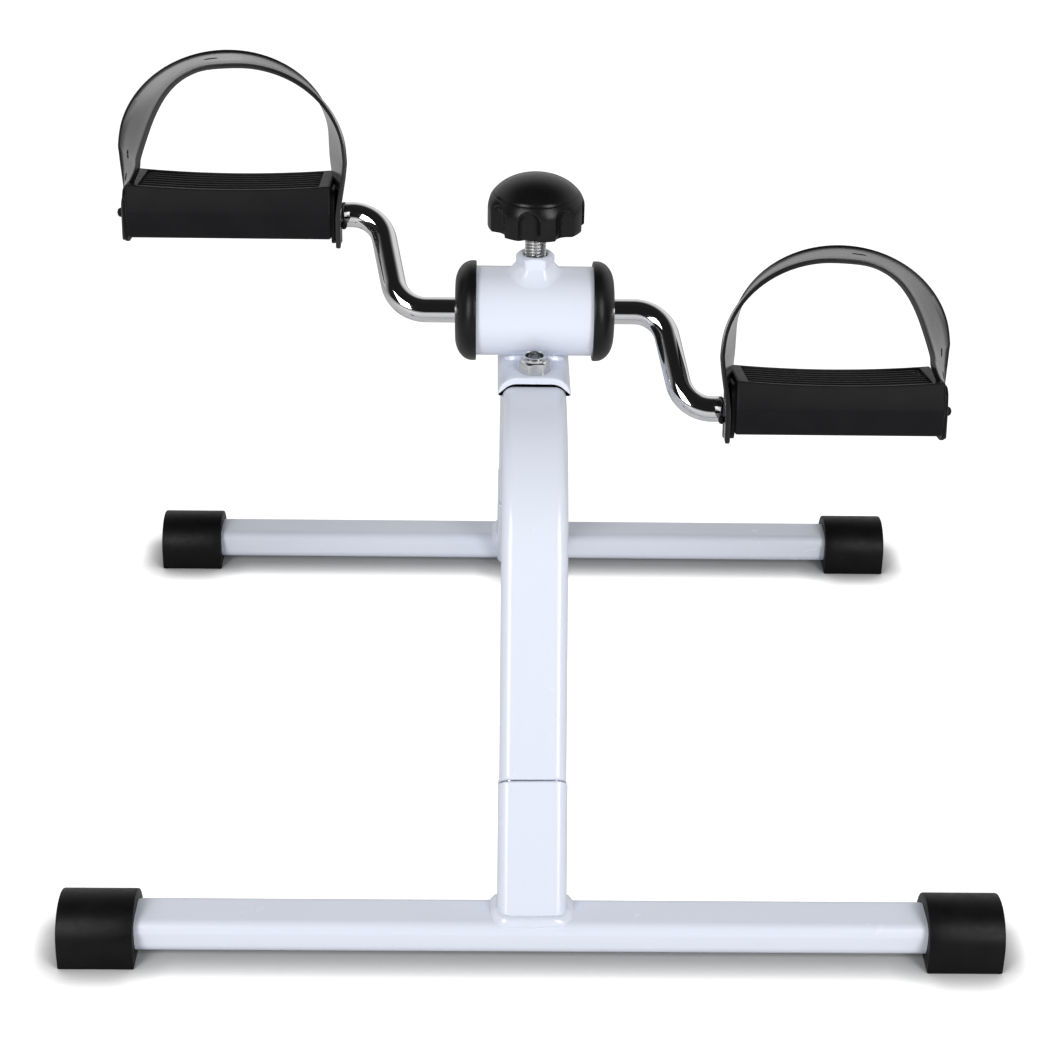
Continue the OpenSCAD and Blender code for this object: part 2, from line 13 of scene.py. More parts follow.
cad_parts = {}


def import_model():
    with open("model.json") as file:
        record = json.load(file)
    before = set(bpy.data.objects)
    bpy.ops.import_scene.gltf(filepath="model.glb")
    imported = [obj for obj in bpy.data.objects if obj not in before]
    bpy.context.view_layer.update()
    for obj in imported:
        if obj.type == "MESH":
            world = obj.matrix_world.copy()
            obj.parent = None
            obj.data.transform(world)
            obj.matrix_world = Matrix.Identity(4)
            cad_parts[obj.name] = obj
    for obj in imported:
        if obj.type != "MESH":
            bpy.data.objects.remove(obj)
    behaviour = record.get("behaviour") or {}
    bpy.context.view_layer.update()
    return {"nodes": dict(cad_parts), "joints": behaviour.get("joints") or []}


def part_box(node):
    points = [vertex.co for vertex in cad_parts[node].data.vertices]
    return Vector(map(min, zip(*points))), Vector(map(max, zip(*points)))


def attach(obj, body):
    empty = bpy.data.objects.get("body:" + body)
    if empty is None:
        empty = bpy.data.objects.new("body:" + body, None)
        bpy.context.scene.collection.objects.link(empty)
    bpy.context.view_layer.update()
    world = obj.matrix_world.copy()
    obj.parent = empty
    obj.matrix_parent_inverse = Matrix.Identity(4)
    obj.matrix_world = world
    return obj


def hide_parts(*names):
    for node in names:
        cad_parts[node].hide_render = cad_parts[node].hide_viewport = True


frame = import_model()

MM = 0.001
END = {False: "front", True: "rear"}
FRAME_NODES = frame["nodes"]

# -------------------- measures

LEG_LEAN = radians(28.4)
LEG_SET_BACK = 6.0
STUB_LENGTH = 61.0
JOINT_GAP = 0.8
BEND_RADIUS = 76.0
TUBE_WALL = 1.5
TUBE_CORNER = 5.5
CRANK_PHASE = radians(44.5)
PEDAL_TILT = {"left": radians(8.0), "right": radians(13.0)}


def box_mm(node):
    """A CAD node's lowest and highest corner, in millimetres."""
    low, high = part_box(node)
    return low / MM, high / MM


def joint_mm(name):
    """A joint's place, in millimetres."""
    joint = next(j for j in frame["joints"] if j["name"] == name)
    return Vector(joint["pos_m"]) / MM


foot_low, foot_high = box_mm("front_foot_tube")
FOOT_Y = -(foot_low.y + foot_high.y) / 2
FOOT_Z = (foot_low.z + foot_high.z) / 2
FOOT_DEPTH = foot_high.y - foot_low.y
FOOT_HEIGHT = foot_high.z - foot_low.z
FOOT_END = foot_high.x
FOOT_CORNER = 5.0
LEG_FOOT_Y = FOOT_Y - LEG_SET_BACK

arch_low, arch_high = box_mm("arch_tube")
ARCH_WIDTH = round(arch_high.x - arch_low.x, 0)
ARCH_TOP = round(arch_high.z, 0)
ARCH_AXIS = ARCH_TOP - ARCH_WIDTH / 2
LEG_RUN = (ARCH_AXIS - FOOT_Z) / cos(LEG_LEAN)
BEND_ANGLE = pi / 2 - LEG_LEAN
BEND_TANGENT = BEND_RADIUS * tan(BEND_ANGLE / 2)
ARCH_FLAT = LEG_FOOT_Y - LEG_RUN * sin(LEG_LEAN) - BEND_TANGENT

hub_low, hub_high = box_mm("hub_tube")
HUB_Z = (hub_low.z + hub_high.z) / 2
HUB_RADIUS = (hub_high.z - hub_low.z) / 2
HUB_END = hub_high.x

crank_low, crank_high = box_mm("crank_bar")
CRANK_X = (crank_low.x + crank_high.x) / 2
BAR_RADIUS = 6.0
SPINDLE_RADIUS = 5.0
CRANK_RADIUS = (joint_mm("left_pedal_spin") - joint_mm("right_pedal_spin")).yz.length / 2

pedal_low, pedal_high = box_mm("left_pedal_body")
PEDAL_INNER = CRANK_X - pedal_high.x
PEDAL_OUTER = CRANK_X - pedal_low.x
PEDAL_MIDDLE = (PEDAL_INNER + PEDAL_OUTER) / 2
PEDAL_TOP = 17.5
PEDAL_SAG = 2.0

# -------------------- shapes


def rounded_rectangle(width, height, radius, inset=0.0, steps=8, support=0.35):
    """Outline of a rectangle with round corners, with a point beside each arc to keep its flats flat."""
    width, height, radius = width - 2 * inset, height - 2 * inset, radius - inset
    points = []
    for corner in range(4):
        start = pi / 2 * corner
        side_x = 1 if corner in (0, 3) else -1
        side_y = 1 if corner in (0, 1) else -1
        middle = Vector((side_x * (width / 2 - radius), side_y * (height / 2 - radius)))
        arc = [middle + radius * Vector((cos(a), sin(a)))
               for a in (start + pi / 2 * i / steps for i in range(steps + 1))]
        before = Vector((sin(start), -cos(start))) * support
        after = Vector((-cos(start), -sin(start))) * support
        points += [arc[0] + before, *arc, arc[-1] + after]
    return points


def ray_to_rectangle(direction, width, height, radius):
    """Where a ray from the middle of a rounded rectangle meets its outline."""
    d = direction.normalized()
    reach = min(width / 2 / max(abs(d.x), 1e-9), height / 2 / max(abs(d.y), 1e-9))
    corner = Vector((copysign(width / 2 - radius, d.x), copysign(height / 2 - radius, d.y)))
    if abs(d.x * reach) > abs(corner.x) and abs(d.y * reach) > abs(corner.y):
        along = d.dot(corner)
        reach = along + sqrt(max(0.0, along ** 2 - corner.length_squared + radius ** 2))
    return d * reach


def loft(rings, closed=False):
    """Skins rings of equally many points. The last ring meets the first, or both ends are capped."""
    count = len(rings[0])
    vertices = [Vector(p) for ring in rings for p in ring]
    faces = []
    for i in range(len(rings) if closed else len(rings) - 1):
        a, b = i * count, (i + 1) % len(rings) * count
        for j in range(count):
            k = (j + 1) % count
            faces.append((a + j, a + k, b + k, b + j))
    if not closed:
        faces.append(tuple(range(count)))
        faces.append(tuple(range(len(vertices) - count, len(vertices))))
    return vertices, faces


def value_at(entry, angle):
    """A number, or what a function of the angle gives."""
    return entry(angle) if callable(entry) else entry


def turned(profile, steps=96, closed=False):
    """A body about Z from (height, radius) pairs, in which either may be a function of the angle."""
    rings = []
    for height, radius in profile:
        ring = []
        for i in range(steps):
            a = 2 * pi * i / steps
            r = value_at(radius, a)
            ring.append((r * cos(a), r * sin(a), value_at(height, a)))
        rings.append(ring)
    return loft(rings, closed)


def hexagon(flats, corner_cut=0.25):
    """Radius of a hexagon against the angle, with flats square to Y and corners a little blunt."""
    def radius(angle):
        turn = (angle + pi / 6) % (pi / 3) - pi / 6
        along = pi / 6 - abs(turn)
        return min(flats / 2 / cos(along), flats / 2 / cos(pi / 6) - corner_cut)
    return radius


def hex_edges(flats, low, high, chamfer_radius):
    """Profile of a hexagon whose ends are turned down to a circle by a shallow cone."""
    radius = hexagon(flats)
    slope = tan(radians(30))
    return [
        (low, chamfer_radius),
        (lambda a: low + max(0.0, radius(a) - chamfer_radius) * slope, radius),
        (lambda a: high - max(0.0, radius(a) - chamfer_radius) * slope, radius),
        (high, chamfer_radius),
    ]


def moved(shape, matrix):
    """A shape put through a matrix."""
    vertices, faces = shape
    return [matrix @ v for v in vertices], faces


def merged(*shapes):
    """Several closed bodies as one shape."""
    vertices, faces = [], []
    for more_vertices, more_faces in shapes:
        start = len(vertices)
        vertices += more_vertices
        faces += [tuple(start + i for i in face) for face in more_faces]
    return vertices, faces


def spline(points, per_span):
    """A smooth curve through points, by Catmull and Rom."""
    points = [Vector(p) for p in points]
    ends = [2 * points[0] - points[1], *points, 2 * points[-1] - points[-2]]
    curve = []
    for i in range(len(points) - 1):
        a, b, c, d = ends[i:i + 4]
        for k in range(per_span):
            t = k / per_span
            curve.append(0.5 * (2 * b + (c - a) * t + (2 * a - 5 * b + 4 * c - d) * t ** 2
                                + (3 * b - 3 * c + d - a) * t ** 3))
    return curve + [points[-1]]


def ripple(point, size, seed=0.0):
    """Smooth noise between about -1 and 1, with bumps of that size in millimetres."""
    return noise.noise(Vector(point) / size + Vector((seed, seed * 1.7, seed * 2.3)))


def mirror(x=False, y=False):
    """The matrix that flips those axes."""
    return Matrix.Diagonal((-1 if x else 1, -1 if y else 1, 1, 1))


TO_X = Matrix.Rotation(pi / 2, 4, "Y")


def leg_place(back):
    """A leg's own frame: Z runs up the leg from its foot tube and -Y is its outer face."""
    stand = Matrix.Translation((0, -LEG_FOOT_Y, FOOT_Z)) @ Matrix.Rotation(-LEG_LEAN, 4, "X")
    return mirror(y=back) @ stand


def pedal_place(side):
    """A pedal's own frame: X counts outwards from the crank's middle and Z is square to the tread."""
    spindle = joint_mm(f"{side}_pedal_spin")
    place = Matrix.Translation((CRANK_X, spindle.y, spindle.z))
    return place @ Matrix.Rotation(-PEDAL_TILT[side], 4, "X") @ mirror(x=side == "left")


def crank_place():
    """The crank's own frame: X along the axle and -Y towards the right-hand spindle."""
    return Matrix.Translation((CRANK_X, 0, HUB_Z)) @ Matrix.Rotation(CRANK_PHASE, 4, "X")


# -------------------- pieces


def put(name, data):
    """A new object in the scene, with a mesh, a light or a camera."""
    made = bpy.data.objects.new(name, data)
    bpy.context.scene.collection.objects.link(made)
    return made


def solid(name, shape):
    """An object with the closed mesh of a shape in millimetres, its faces turned outwards."""
    vertices, faces = shape
    mesh = bpy.data.meshes.new(name)
    mesh.from_pydata([v * MM for v in vertices], [], faces)
    work = bmesh.new()
    work.from_mesh(mesh)
    bmesh.ops.remove_doubles(work, verts=work.verts, dist=1e-6)
    bmesh.ops.recalc_face_normals(work, faces=work.faces)
    work.to_mesh(mesh)
    work.free()
    return put(name, mesh)


def shade(mesh, sharp):
    """Smooth shading, broken at edges sharper than that many degrees."""
    mesh.shade_smooth()
    mesh.set_sharp_from_angle(angle=radians(sharp))


def add_piece(name, shape, material, body, nodes, place=Matrix.Identity(4), sharp=40):
    """Makes a piece of a shape in millimetres and hangs it on the frame."""
    piece = solid(name, moved(shape, place))
    shade(piece.data, sharp)
    piece.data.materials.append(material)
    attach(piece, body)
    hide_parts(*nodes)
    return piece


def cut_away(piece, tools, sharp):
    """Cuts the tool shapes, in millimetres, out of a piece."""
    tool = solid("tool", merged(*tools))
    modifier = piece.modifiers.new("cut", "BOOLEAN")
    modifier.operation = "DIFFERENCE"
    modifier.solver = "EXACT"
    modifier.object = tool
    graph = bpy.context.evaluated_depsgraph_get()
    result = bpy.data.meshes.new_from_object(piece.evaluated_get(graph))
    piece.modifiers.clear()
    piece.data = result
    bpy.data.objects.remove(tool)
    shade(result, sharp)


# -------------------- materials


def add_node(material, kind, **values):
    """A new node in a material or a world. A value is for the socket of its name, or else a setting."""
    node = material.node_tree.nodes.new(kind)
    for key, value in values.items():
        if key in node.inputs:
            node.inputs[key].default_value = value
        else:
            setattr(node, key, value)
    return node


def wire(material, source, target):
    """Links one socket to another."""
    material.node_tree.links.new(source, target)


def noise_field(material, size, detail=3.0, roughness=0.55):
    """Noise with features of that size in millimetres."""
    place = add_node(material, "ShaderNodeTexCoord")
    field = add_node(material, "ShaderNodeTexNoise", Scale=1 / (size * MM), Detail=detail,
                     Roughness=roughness)
    wire(material, place.outputs["Object"], field.inputs["Vector"])
    return field.outputs["Fac"]


def spread(material, value, low, high, first=0.25, last=0.75):
    """Stretches the middle of a field over the range from low to high."""
    node = add_node(material, "ShaderNodeMapRange")
    for index, number in enumerate((first, last, low, high), start=1):
        node.inputs[index].default_value = number
    wire(material, value, node.inputs[0])
    return node.outputs[0]


def mixed(material, share, first, second):
    """A colour between two, each a colour or another colour's socket."""
    node = add_node(material, "ShaderNodeMix", data_type="RGBA")
    wire(material, share, node.inputs["Factor"])
    for socket, colour in ((node.inputs[6], first), (node.inputs[7], second)):
        if isinstance(colour, tuple):
            socket.default_value = (*colour, 1)
        else:
            wire(material, colour, socket)
    return node.outputs[2]


def bumped(material, height, depth, under=None):
    """A bump of that depth in millimetres, laid over another one."""
    node = add_node(material, "ShaderNodeBump", Strength=1.0, Distance=depth * MM)
    wire(material, height, node.inputs["Height"])
    if under is not None:
        wire(material, under, node.inputs["Normal"])
    return node.outputs["Normal"]


def surface(name, tones, gloss, drift=14.0, grain=0.5, grain_depth=0.01, wave=6.0, wave_depth=0.0,
            **sockets):
    """A finish whose tone and gloss drift over the surface, with a fine grain and a slow waviness."""
    material = bpy.data.materials.new(name)
    material.use_nodes = True
    shader = material.node_tree.nodes["Principled BSDF"]
    for key, value in sockets.items():
        shader.inputs[key.replace("_", " ")].default_value = value
    tone = spread(material, noise_field(material, drift), 0.0, 1.0)
    colour = mixed(material, tone, *tones)
    wire(material, colour, shader.inputs["Base Color"])
    dull = spread(material, noise_field(material, drift * 0.4, detail=5.0), *gloss)
    wire(material, dull, shader.inputs["Roughness"])
    normal = bumped(material, noise_field(material, grain, detail=2.0), grain_depth)
    if wave_depth:
        normal = bumped(material, noise_field(material, wave, detail=1.0), wave_depth, normal)
    wire(material, normal, shader.inputs["Normal"])
    return material, shader, colour


def specks(material, shader, colour, speck, spacing, size):
    """Scatters small specks of another tone over a finish."""
    place = add_node(material, "ShaderNodeTexCoord")
    cells = add_node(material, "ShaderNodeTexVoronoi", Scale=1 / (spacing * MM))
    wire(material, place.outputs["Object"], cells.inputs["Vector"])
    near = spread(material, cells.outputs["Distance"], 1.0, 0.0, 0.4 * size / spacing, size / spacing)
    wire(material, mixed(material, near, colour, speck), shader.inputs["Base Color"])


def powder_coat():
    tones = ((0.738, 0.781, 0.882), (0.744, 0.786, 0.886))
    material, shader, colour = surface(
        "powder_coat", tones, (0.265, 0.275), drift=40.0, grain=1.6, grain_depth=0.004,
        wave=12.0, wave_depth=0.006, Coat_Weight=0.25, Coat_Roughness=0.12)
    specks(material, shader, colour, (0.42, 0.42, 0.43), spacing=23.0, size=0.22)
    return material


def finish(name, dark, light, gloss, **values):
    """A finish between two tones."""
    return surface(name, (dark, light), gloss, **values)[0]


PAINT = powder_coat()
WELD = finish("powder_coat_on_weld", (0.730, 0.773, 0.875), (0.748, 0.790, 0.890), (0.16, 0.24),
              drift=6.0, grain=1.2, grain_depth=0.012, wave=2.6, wave_depth=0.14,
              Coat_Weight=0.4, Coat_Roughness=0.08)
RUBBER = finish("foot_rubber", (0.003, 0.003, 0.003), (0.006, 0.006, 0.007), (0.36, 0.50),
                drift=9.0, grain=0.45, grain_depth=0.010, wave=7.0, wave_depth=0.05,
                Specular_IOR_Level=0.14)
CAP = finish("hub_cap_plastic", (0.004, 0.004, 0.004), (0.007, 0.007, 0.007), (0.32, 0.40),
             drift=10.0, grain=0.5, grain_depth=0.006, Specular_IOR_Level=0.22)
KNOB = finish("knob_plastic", (0.004, 0.004, 0.004), (0.007, 0.007, 0.008), (0.24, 0.32),
              drift=8.0, grain=0.35, grain_depth=0.004, Specular_IOR_Level=0.22)
PEDAL = finish("pedal_plastic", (0.004, 0.004, 0.005), (0.007, 0.007, 0.008), (0.40, 0.50),
               drift=16.0, grain=0.35, grain_depth=0.008, wave=12.0, wave_depth=0.03,
               Specular_IOR_Level=0.13)
TREAD = finish("tread_rubber", (0.003, 0.003, 0.003), (0.007, 0.007, 0.007), (0.46, 0.60),
               drift=5.0, grain=0.4, grain_depth=0.01, Specular_IOR_Level=0.15)
VINYL = finish("strap_vinyl", (0.006, 0.006, 0.006), (0.011, 0.011, 0.012), (0.20, 0.27),
               drift=16.0, grain=0.6, grain_depth=0.001, wave=14.0, wave_depth=0.10,
               Coat_Weight=0.65, Coat_Roughness=0.16)
CHROME = finish("chrome_plate", (0.70, 0.70, 0.71), (0.78, 0.78, 0.79), (0.035, 0.07),
                drift=16.0, grain=2.0, grain_depth=0.0015, wave=14.0, wave_depth=0.02, Metallic=1.0)
THREAD = finish("thread_steel", (0.48, 0.48, 0.48), (0.74, 0.74, 0.73), (0.14, 0.30),
                drift=2.0, grain=0.4, grain_depth=0.01, Metallic=1.0)
ZINC = finish("zinc_plate", (0.50, 0.51, 0.53), (0.76, 0.77, 0.78), (0.12, 0.28),
              drift=4.0, grain=0.8, grain_depth=0.01, Metallic=1.0)
NYLON = finish("nylon", (0.68, 0.66, 0.60), (0.78, 0.77, 0.72), (0.38, 0.52),
               drift=8.0, grain=0.6, grain_depth=0.01)

# -------------------- base


def foot_tube(back):
    """A hollow oval-cornered tube, whose ends hide in the caps."""
    outer = rounded_rectangle(FOOT_DEPTH, FOOT_HEIGHT, FOOT_CORNER)
    inner = rounded_rectangle(FOOT_DEPTH, FOOT_HEIGHT, FOOT_CORNER, TUBE_WALL)
    def ring(points, x):
        return [(x, p.x - FOOT_Y, p.y + FOOT_Z) for p in points]
    shape = loft([ring(outer, -FOOT_END), ring(outer, FOOT_END),
                  ring(inner, FOOT_END), ring(inner, -FOOT_END)], closed=True)
    add_piece(f"{END[back]}_foot_bar", shape, PAINT, "frame",
              [f"{END[back]}_foot_tube"], mirror(y=back))


def cap_outline(inset):
    """Half-round outline of a foot cap, drawn in by that much."""
    low, high = box_mm("front_right_foot_cap")
    radius = (high.y - low.y) / 2
    spring = high.z - radius
    half = radius - inset
    sole = [Vector((x * half, inset * 0.6)) for x in (0.96, 0.5, 0.0, -0.5, -0.96, -1.0)]
    arc = [Vector((half * cos(a), spring + half * sin(a)))
           for a in (pi * (1 - i / 24) for i in range(25))]
    left, right = Vector((-half, spring - 0.5)), Vector((half, spring - 0.5))
    return sole + [left] + arc + [right, Vector((half, inset * 0.6))]


def foot_cap(back, left):
    """A rubber cap pushed on the tube: rounded end, plain sides and a lip round the tube."""
    low, high = box_mm("front_right_foot_cap")
    hub = Vector((0, FOOT_Z))
    def ring(inset, x):
        return [(x, p.x - FOOT_Y, p.y) for p in cap_outline(inset)]
    def hole(grow, x):
        size = (FOOT_DEPTH + grow, FOOT_HEIGHT + grow, FOOT_CORNER + grow / 2)
        points = [hub + ray_to_rectangle(p - hub, *size) for p in cap_outline(0)]
        return [(x, p.x - FOOT_Y, p.y) for p in points]
    rings = [hole(0.1, FOOT_END + 0.2), hole(0.1, low.x + 1.0), hole(0.9, low.x + 0.1),
             ring(0.6, low.x), ring(0.15, low.x + 0.15), ring(0, low.x + 0.6), ring(0, low.x + 6),
             ring(0, high.x - 0.9), ring(0.2, high.x - 0.3), ring(0.8, high.x)]
    name = f"{END[back]}_{'left' if left else 'right'}"
    add_piece(f"{name}_cap", loft(rings), RUBBER, "frame",
              [f"{name}_foot_cap"], mirror(x=left, y=back))


def end_rise(point):
    """How far the ends at the leg joint stand up the leg: the front face is highest."""
    half = ARCH_WIDTH / 2
    share = (-point.y - (half - TUBE_CORNER)) / TUBE_CORNER
    return 2.0 * min(1.0, max(0.0, share)) + 0.012 * point.x


def stub_tube(back):
    """The welded lower part of a leg, cut off inside the foot tube."""
    low, high = box_mm("front_stub_tube")
    width = high.x - low.x
    outer = rounded_rectangle(width, width, TUBE_CORNER)
    slim = rounded_rectangle(width, width, TUBE_CORNER, 0.5)
    inner = rounded_rectangle(width, width, TUBE_CORNER, TUBE_WALL)
    cut_z, cut_y, cut_fall = 16, FOOT_Y + 10, 10 / 35
    def foot(points):
        ring = []
        for p in points:
            forward = -p.y
            flat = cut_z - FOOT_Z - forward * sin(LEG_LEAN)
            flat -= cut_fall * (cut_y - LEG_FOOT_Y - forward * cos(LEG_LEAN))
            s = flat / (cos(LEG_LEAN) + cut_fall * sin(LEG_LEAN))
            ring.append((p.x, p.y, s))
        return ring
    def top(points, drop):
        return [(p.x, p.y, STUB_LENGTH + end_rise(p) - drop) for p in points]
    rings = [foot(outer), top(outer, 1.2), top(outer, 0.5), top(slim, 0.0),
             top(inner, 0.15), top(inner, 1.0), foot(inner)]
    add_piece(f"{END[back]}_stub", loft(rings, closed=True), PAINT, "frame",
              [f"{END[back]}_stub_tube"], leg_place(back))


def on_foot_tube(run):
    """Point and outward direction on the foot tube's section, at that run forward from its top's middle."""
    flat = FOOT_DEPTH / 2 - FOOT_CORNER
    side, run = copysign(1, run), abs(run)
    arc = FOOT_CORNER * pi / 2
    if run < flat:
        y, z, angle = run, FOOT_HEIGHT / 2, 0.0
    elif run < flat + arc:
        angle = (run - flat) / FOOT_CORNER
        y = flat + FOOT_CORNER * sin(angle)
        z = FOOT_HEIGHT / 2 - FOOT_CORNER * (1 - cos(angle))
    else:
        angle = pi / 2
        y, z = FOOT_DEPTH / 2, FOOT_HEIGHT / 2 - FOOT_CORNER - (run - flat - arc)
    point = Vector((0, -FOOT_Y - side * y, FOOT_Z + z))
    return point, Vector((0, -side * sin(angle), cos(angle)))


def stub_weld(back):
    """The bead round a leg's foot: a soft, slightly lumpy roll that follows the foot tube's top."""
    half, corner = 15.6, 6.0
    front, rear = 7.2, -17.0
    side_run = [(half, rear + (front - corner - rear) * i / 14, 1.0, 0.0) for i in range(14)]
    turn = [(half - corner + corner * cos(a), front - corner + corner * sin(a),
             cos(a), sin(a)) for a in (pi / 2 * i / 10 for i in range(11))]
    across = [((half - corner) * (1 - i / 6), front, 0.0, 1.0) for i in range(1, 7)]
    right = side_run + turn + across
    contour = right + [(-x, u, -dx, du) for x, u, dx, du in reversed(right[:-1])]
    profile = [(-2.5, -2.0), (-2.5, 0.7), (-0.6, 1.0), (0.12, 0.97), (0.34, 0.84), (0.56, 0.62),
               (0.76, 0.36), (0.92, 0.13), (1.0, -0.04), (1.0, -1.0)]
    rings = []
    for x, u, dx, du in contour:
        taper = min(1.0, 0.35 + (u - rear) / 9)
        lump = ripple((x, u, 3 if back else 0), 4.5)
        width = (3.1 + 0.7 * lump) * taper
        height = (2.6 + 0.6 * ripple((x, u, 9), 4.0)) * taper
        ring = []
        for out, up in profile:
            reach = out if out < 0 else out * width
            lift = up if up < -0.5 else up * height
            point, normal = on_foot_tube(u + du * reach)
            ring.append(point + Vector((x + dx * reach, 0, 0)) + normal * lift)
        rings.append(ring)
    add_piece(f"{END[back]}_stub_bead", loft(rings), WELD, "frame",
              [f"{END[back]}_stub_weld"], mirror(y=back), sharp=70)


# -------------------- arch


def arch_path():
    """(middle, outward direction, way up the leg) along the front half of the arch, from the joint."""
    path = []
    up = Vector((0, sin(LEG_LEAN), cos(LEG_LEAN)))
    out = Vector((0, -cos(LEG_LEAN), sin(LEG_LEAN)))
    foot = Vector((0, -LEG_FOOT_Y, FOOT_Z))
    start = STUB_LENGTH + JOINT_GAP
    end = LEG_RUN - BEND_TANGENT
    for s in (start, start + 0.5, start + 1.4, start + 8, start + 60, end - 4):
        path.append((foot + up * s, out, up))
    centre = Vector((0, -ARCH_FLAT, ARCH_AXIS - BEND_RADIUS))
    for i in range(29):
        a = BEND_ANGLE * (1 - i / 28)
        out = Vector((0, -sin(a), cos(a)))
        path.append((centre + out * BEND_RADIUS, out, Vector((0, cos(a), sin(a)))))
    path.append((Vector((0, 0, ARCH_AXIS)), Vector((0, 0, 1)), Vector((0, 1, 0))))
    return path


def arch_tube():
    """The bent square tube, hollow, with softened ends at both leg joints."""
    outer = rounded_rectangle(ARCH_WIDTH, ARCH_WIDTH, TUBE_CORNER)
    slim = rounded_rectangle(ARCH_WIDTH, ARCH_WIDTH, TUBE_CORNER, 0.4)
    inner = rounded_rectangle(ARCH_WIDTH, ARCH_WIDTH, TUBE_CORNER, TUBE_WALL)
    path = arch_path()
    def ring(points, station, flip, end=False):
        middle, out, up = station
        made = []
        for p in points:
            point = middle + Vector((p.x, 0, 0)) - out * p.y
            if end:
                point = point + up * (end_rise(p) - 0.006 * p.x)
            made.append(Vector((point.x, -point.y, point.z)) if flip else point)
        return made
    def half(points, first, flip):
        rest = [ring(points, station, flip, end=i < 2) for i, station in enumerate(path[1:-1])]
        return [ring(first, path[0], flip, end=True)] + rest
    top = ring(outer, path[-1], False)
    rings = [*half(outer, slim, False), top, *reversed(half(outer, slim, True))]
    rings += [*half(inner, inner, True), ring(inner, path[-1], False), *reversed(half(inner, inner, False))]
    add_piece("arch", loft(rings, closed=True), PAINT, "frame", ["arch_tube"])


def saddle():
    """The folded saddle plate under the hub, with a rolled lip at each end."""
    low, high = box_mm("saddle_bracket")
    wall, web, corner = 1.9, 3.6, 9.0
    edge_x, edge_z = high.x - corner, high.z - corner
    line = [(Vector((high.x, low.z + 0.4 + (edge_z - low.z - 0.4) * i / 3)), Vector((1, 0)))
            for i in range(3)]
    line += [(Vector((edge_x + corner * cos(a), edge_z + corner * sin(a))),
              Vector((cos(a), sin(a)))) for a in (pi / 2 * i / 12 for i in range(13))]
    line += [(Vector((edge_x * (1 - i / 4), high.z)), Vector((0, 1))) for i in range(1, 5)]
    line += [(Vector((-p.x, p.y)), Vector((-n.x, n.y))) for p, n in reversed(line[:-1])]
    def ring(y, inset):
        outer = [p - n * inset for p, n in line]
        inner = [p - n * (wall + (web - wall) * n.y - inset) for p, n in line]
        drop = Vector((0, 0.4 - inset))
        start = [inner[0] - drop, outer[0] - drop]
        finish = [outer[-1] - drop, inner[-1] - drop]
        return [(p.x, y, p.y) for p in start + outer + finish + inner[::-1]]
    reach = high.y
    ends = ((0.0, 0.5), (0.15, 0.15), (0.6, 0.0), (4.0, 0.0))
    rings = [ring(-reach + run, inset) for run, inset in ends]
    rings += [ring(reach - run, inset) for run, inset in reversed(ends)]
    add_piece("saddle", loft(rings), PAINT, "frame", ["saddle_bracket"])


def fasteners():
    """The two saddle bolts with their washers and lock nuts."""
    low, high = box_mm("saddle_nuts")
    bolt_y = high.y - 6.5
    bolt_low = box_mm("saddle_bolts")[0]
    washer_low, washer_high = box_mm("saddle_washers")
    nut = hex_edges(13.0, low.z, low.z + 5.9, 6.35)
    nut += [(low.z + 6.1, 5.95), (low.z + 7.1, 5.85), (low.z + 7.8, 5.3), (high.z, 4.7), (high.z - 0.3, 4.3),
            (high.z - 1.6, 4.15), (low.z, 4.1)]
    head = hex_edges(13.0, bolt_low.z, bolt_low.z + 5.3, 6.2)
    end = high.z - 5.0
    shank = [(bolt_low.z + 5.3, 4.0), (end - 0.8, 4.0), (end, 3.3)]
    washer = [(washer_low.z, 4.3), (washer_low.z, 7.7), (washer_low.z + 0.3, 8.0),
              (washer_high.z - 0.3, 8.0), (washer_high.z, 7.7), (washer_high.z, 4.3)]
    def pair(profile, closed=False):
        places = [Matrix.Translation((0, y, 0)) @ Matrix.Rotation(turn, 4, "Z")
                  for y, turn in ((-bolt_y, 0.14), (bolt_y, -0.3))]
        return merged(*[moved(turned(profile, 72, closed), place) for place in places])
    add_piece("lock_nuts", pair(nut, closed=True), ZINC, "frame", ["saddle_nuts"], sharp=25)
    add_piece("bolts", pair(head + shank), ZINC, "frame", ["saddle_bolts"], sharp=25)
    add_piece("washers", pair(washer, closed=True), ZINC, "frame", ["saddle_washers"], sharp=25)


def joint_screws():
    """The two domed socket screws that lock the legs on their sleeves."""
    socket = hexagon(4.0, 0.0)
    profile = [(0.0, 5.4), (0.5, 5.5), (1.3, 5.35), (2.3, 4.7), (3.0, 3.7), (3.4, 2.7),
               (3.3, lambda a: socket(a) + 0.2), (1.4, socket), (1.2, 0.0)]
    stem = [(-6.0, 2.5), (-5.4, 3.0), (0.2, 3.0)]
    seat = Matrix.Translation((0, ARCH_WIDTH / 2 + 0.1, STUB_LENGTH + 16))
    seat = seat @ Matrix.Rotation(-pi / 2, 4, "X")
    shapes = [moved(merged(turned(profile, 72), turned(stem, 72)), leg_place(back) @ seat)
              for back in (False, True)]
    add_piece("socket_screws", merged(*shapes), ZINC, "frame", ["joint_screws"], sharp=30)


# -------------------- hub


def hub_shell():
    """The hub tube, which is painted and has softened ends."""
    inner = HUB_RADIUS - 2
    profile = [(-HUB_END, inner), (-HUB_END, HUB_RADIUS - 0.4), (-HUB_END + 0.4, HUB_RADIUS),
               (HUB_END - 0.4, HUB_RADIUS), (HUB_END, HUB_RADIUS - 0.4), (HUB_END, inner)]
    place = Matrix.Translation((0, 0, HUB_Z)) @ TO_X
    add_piece("hub_shell", turned(profile, 144, closed=True), PAINT, "frame",
              ["hub_tube"], place)


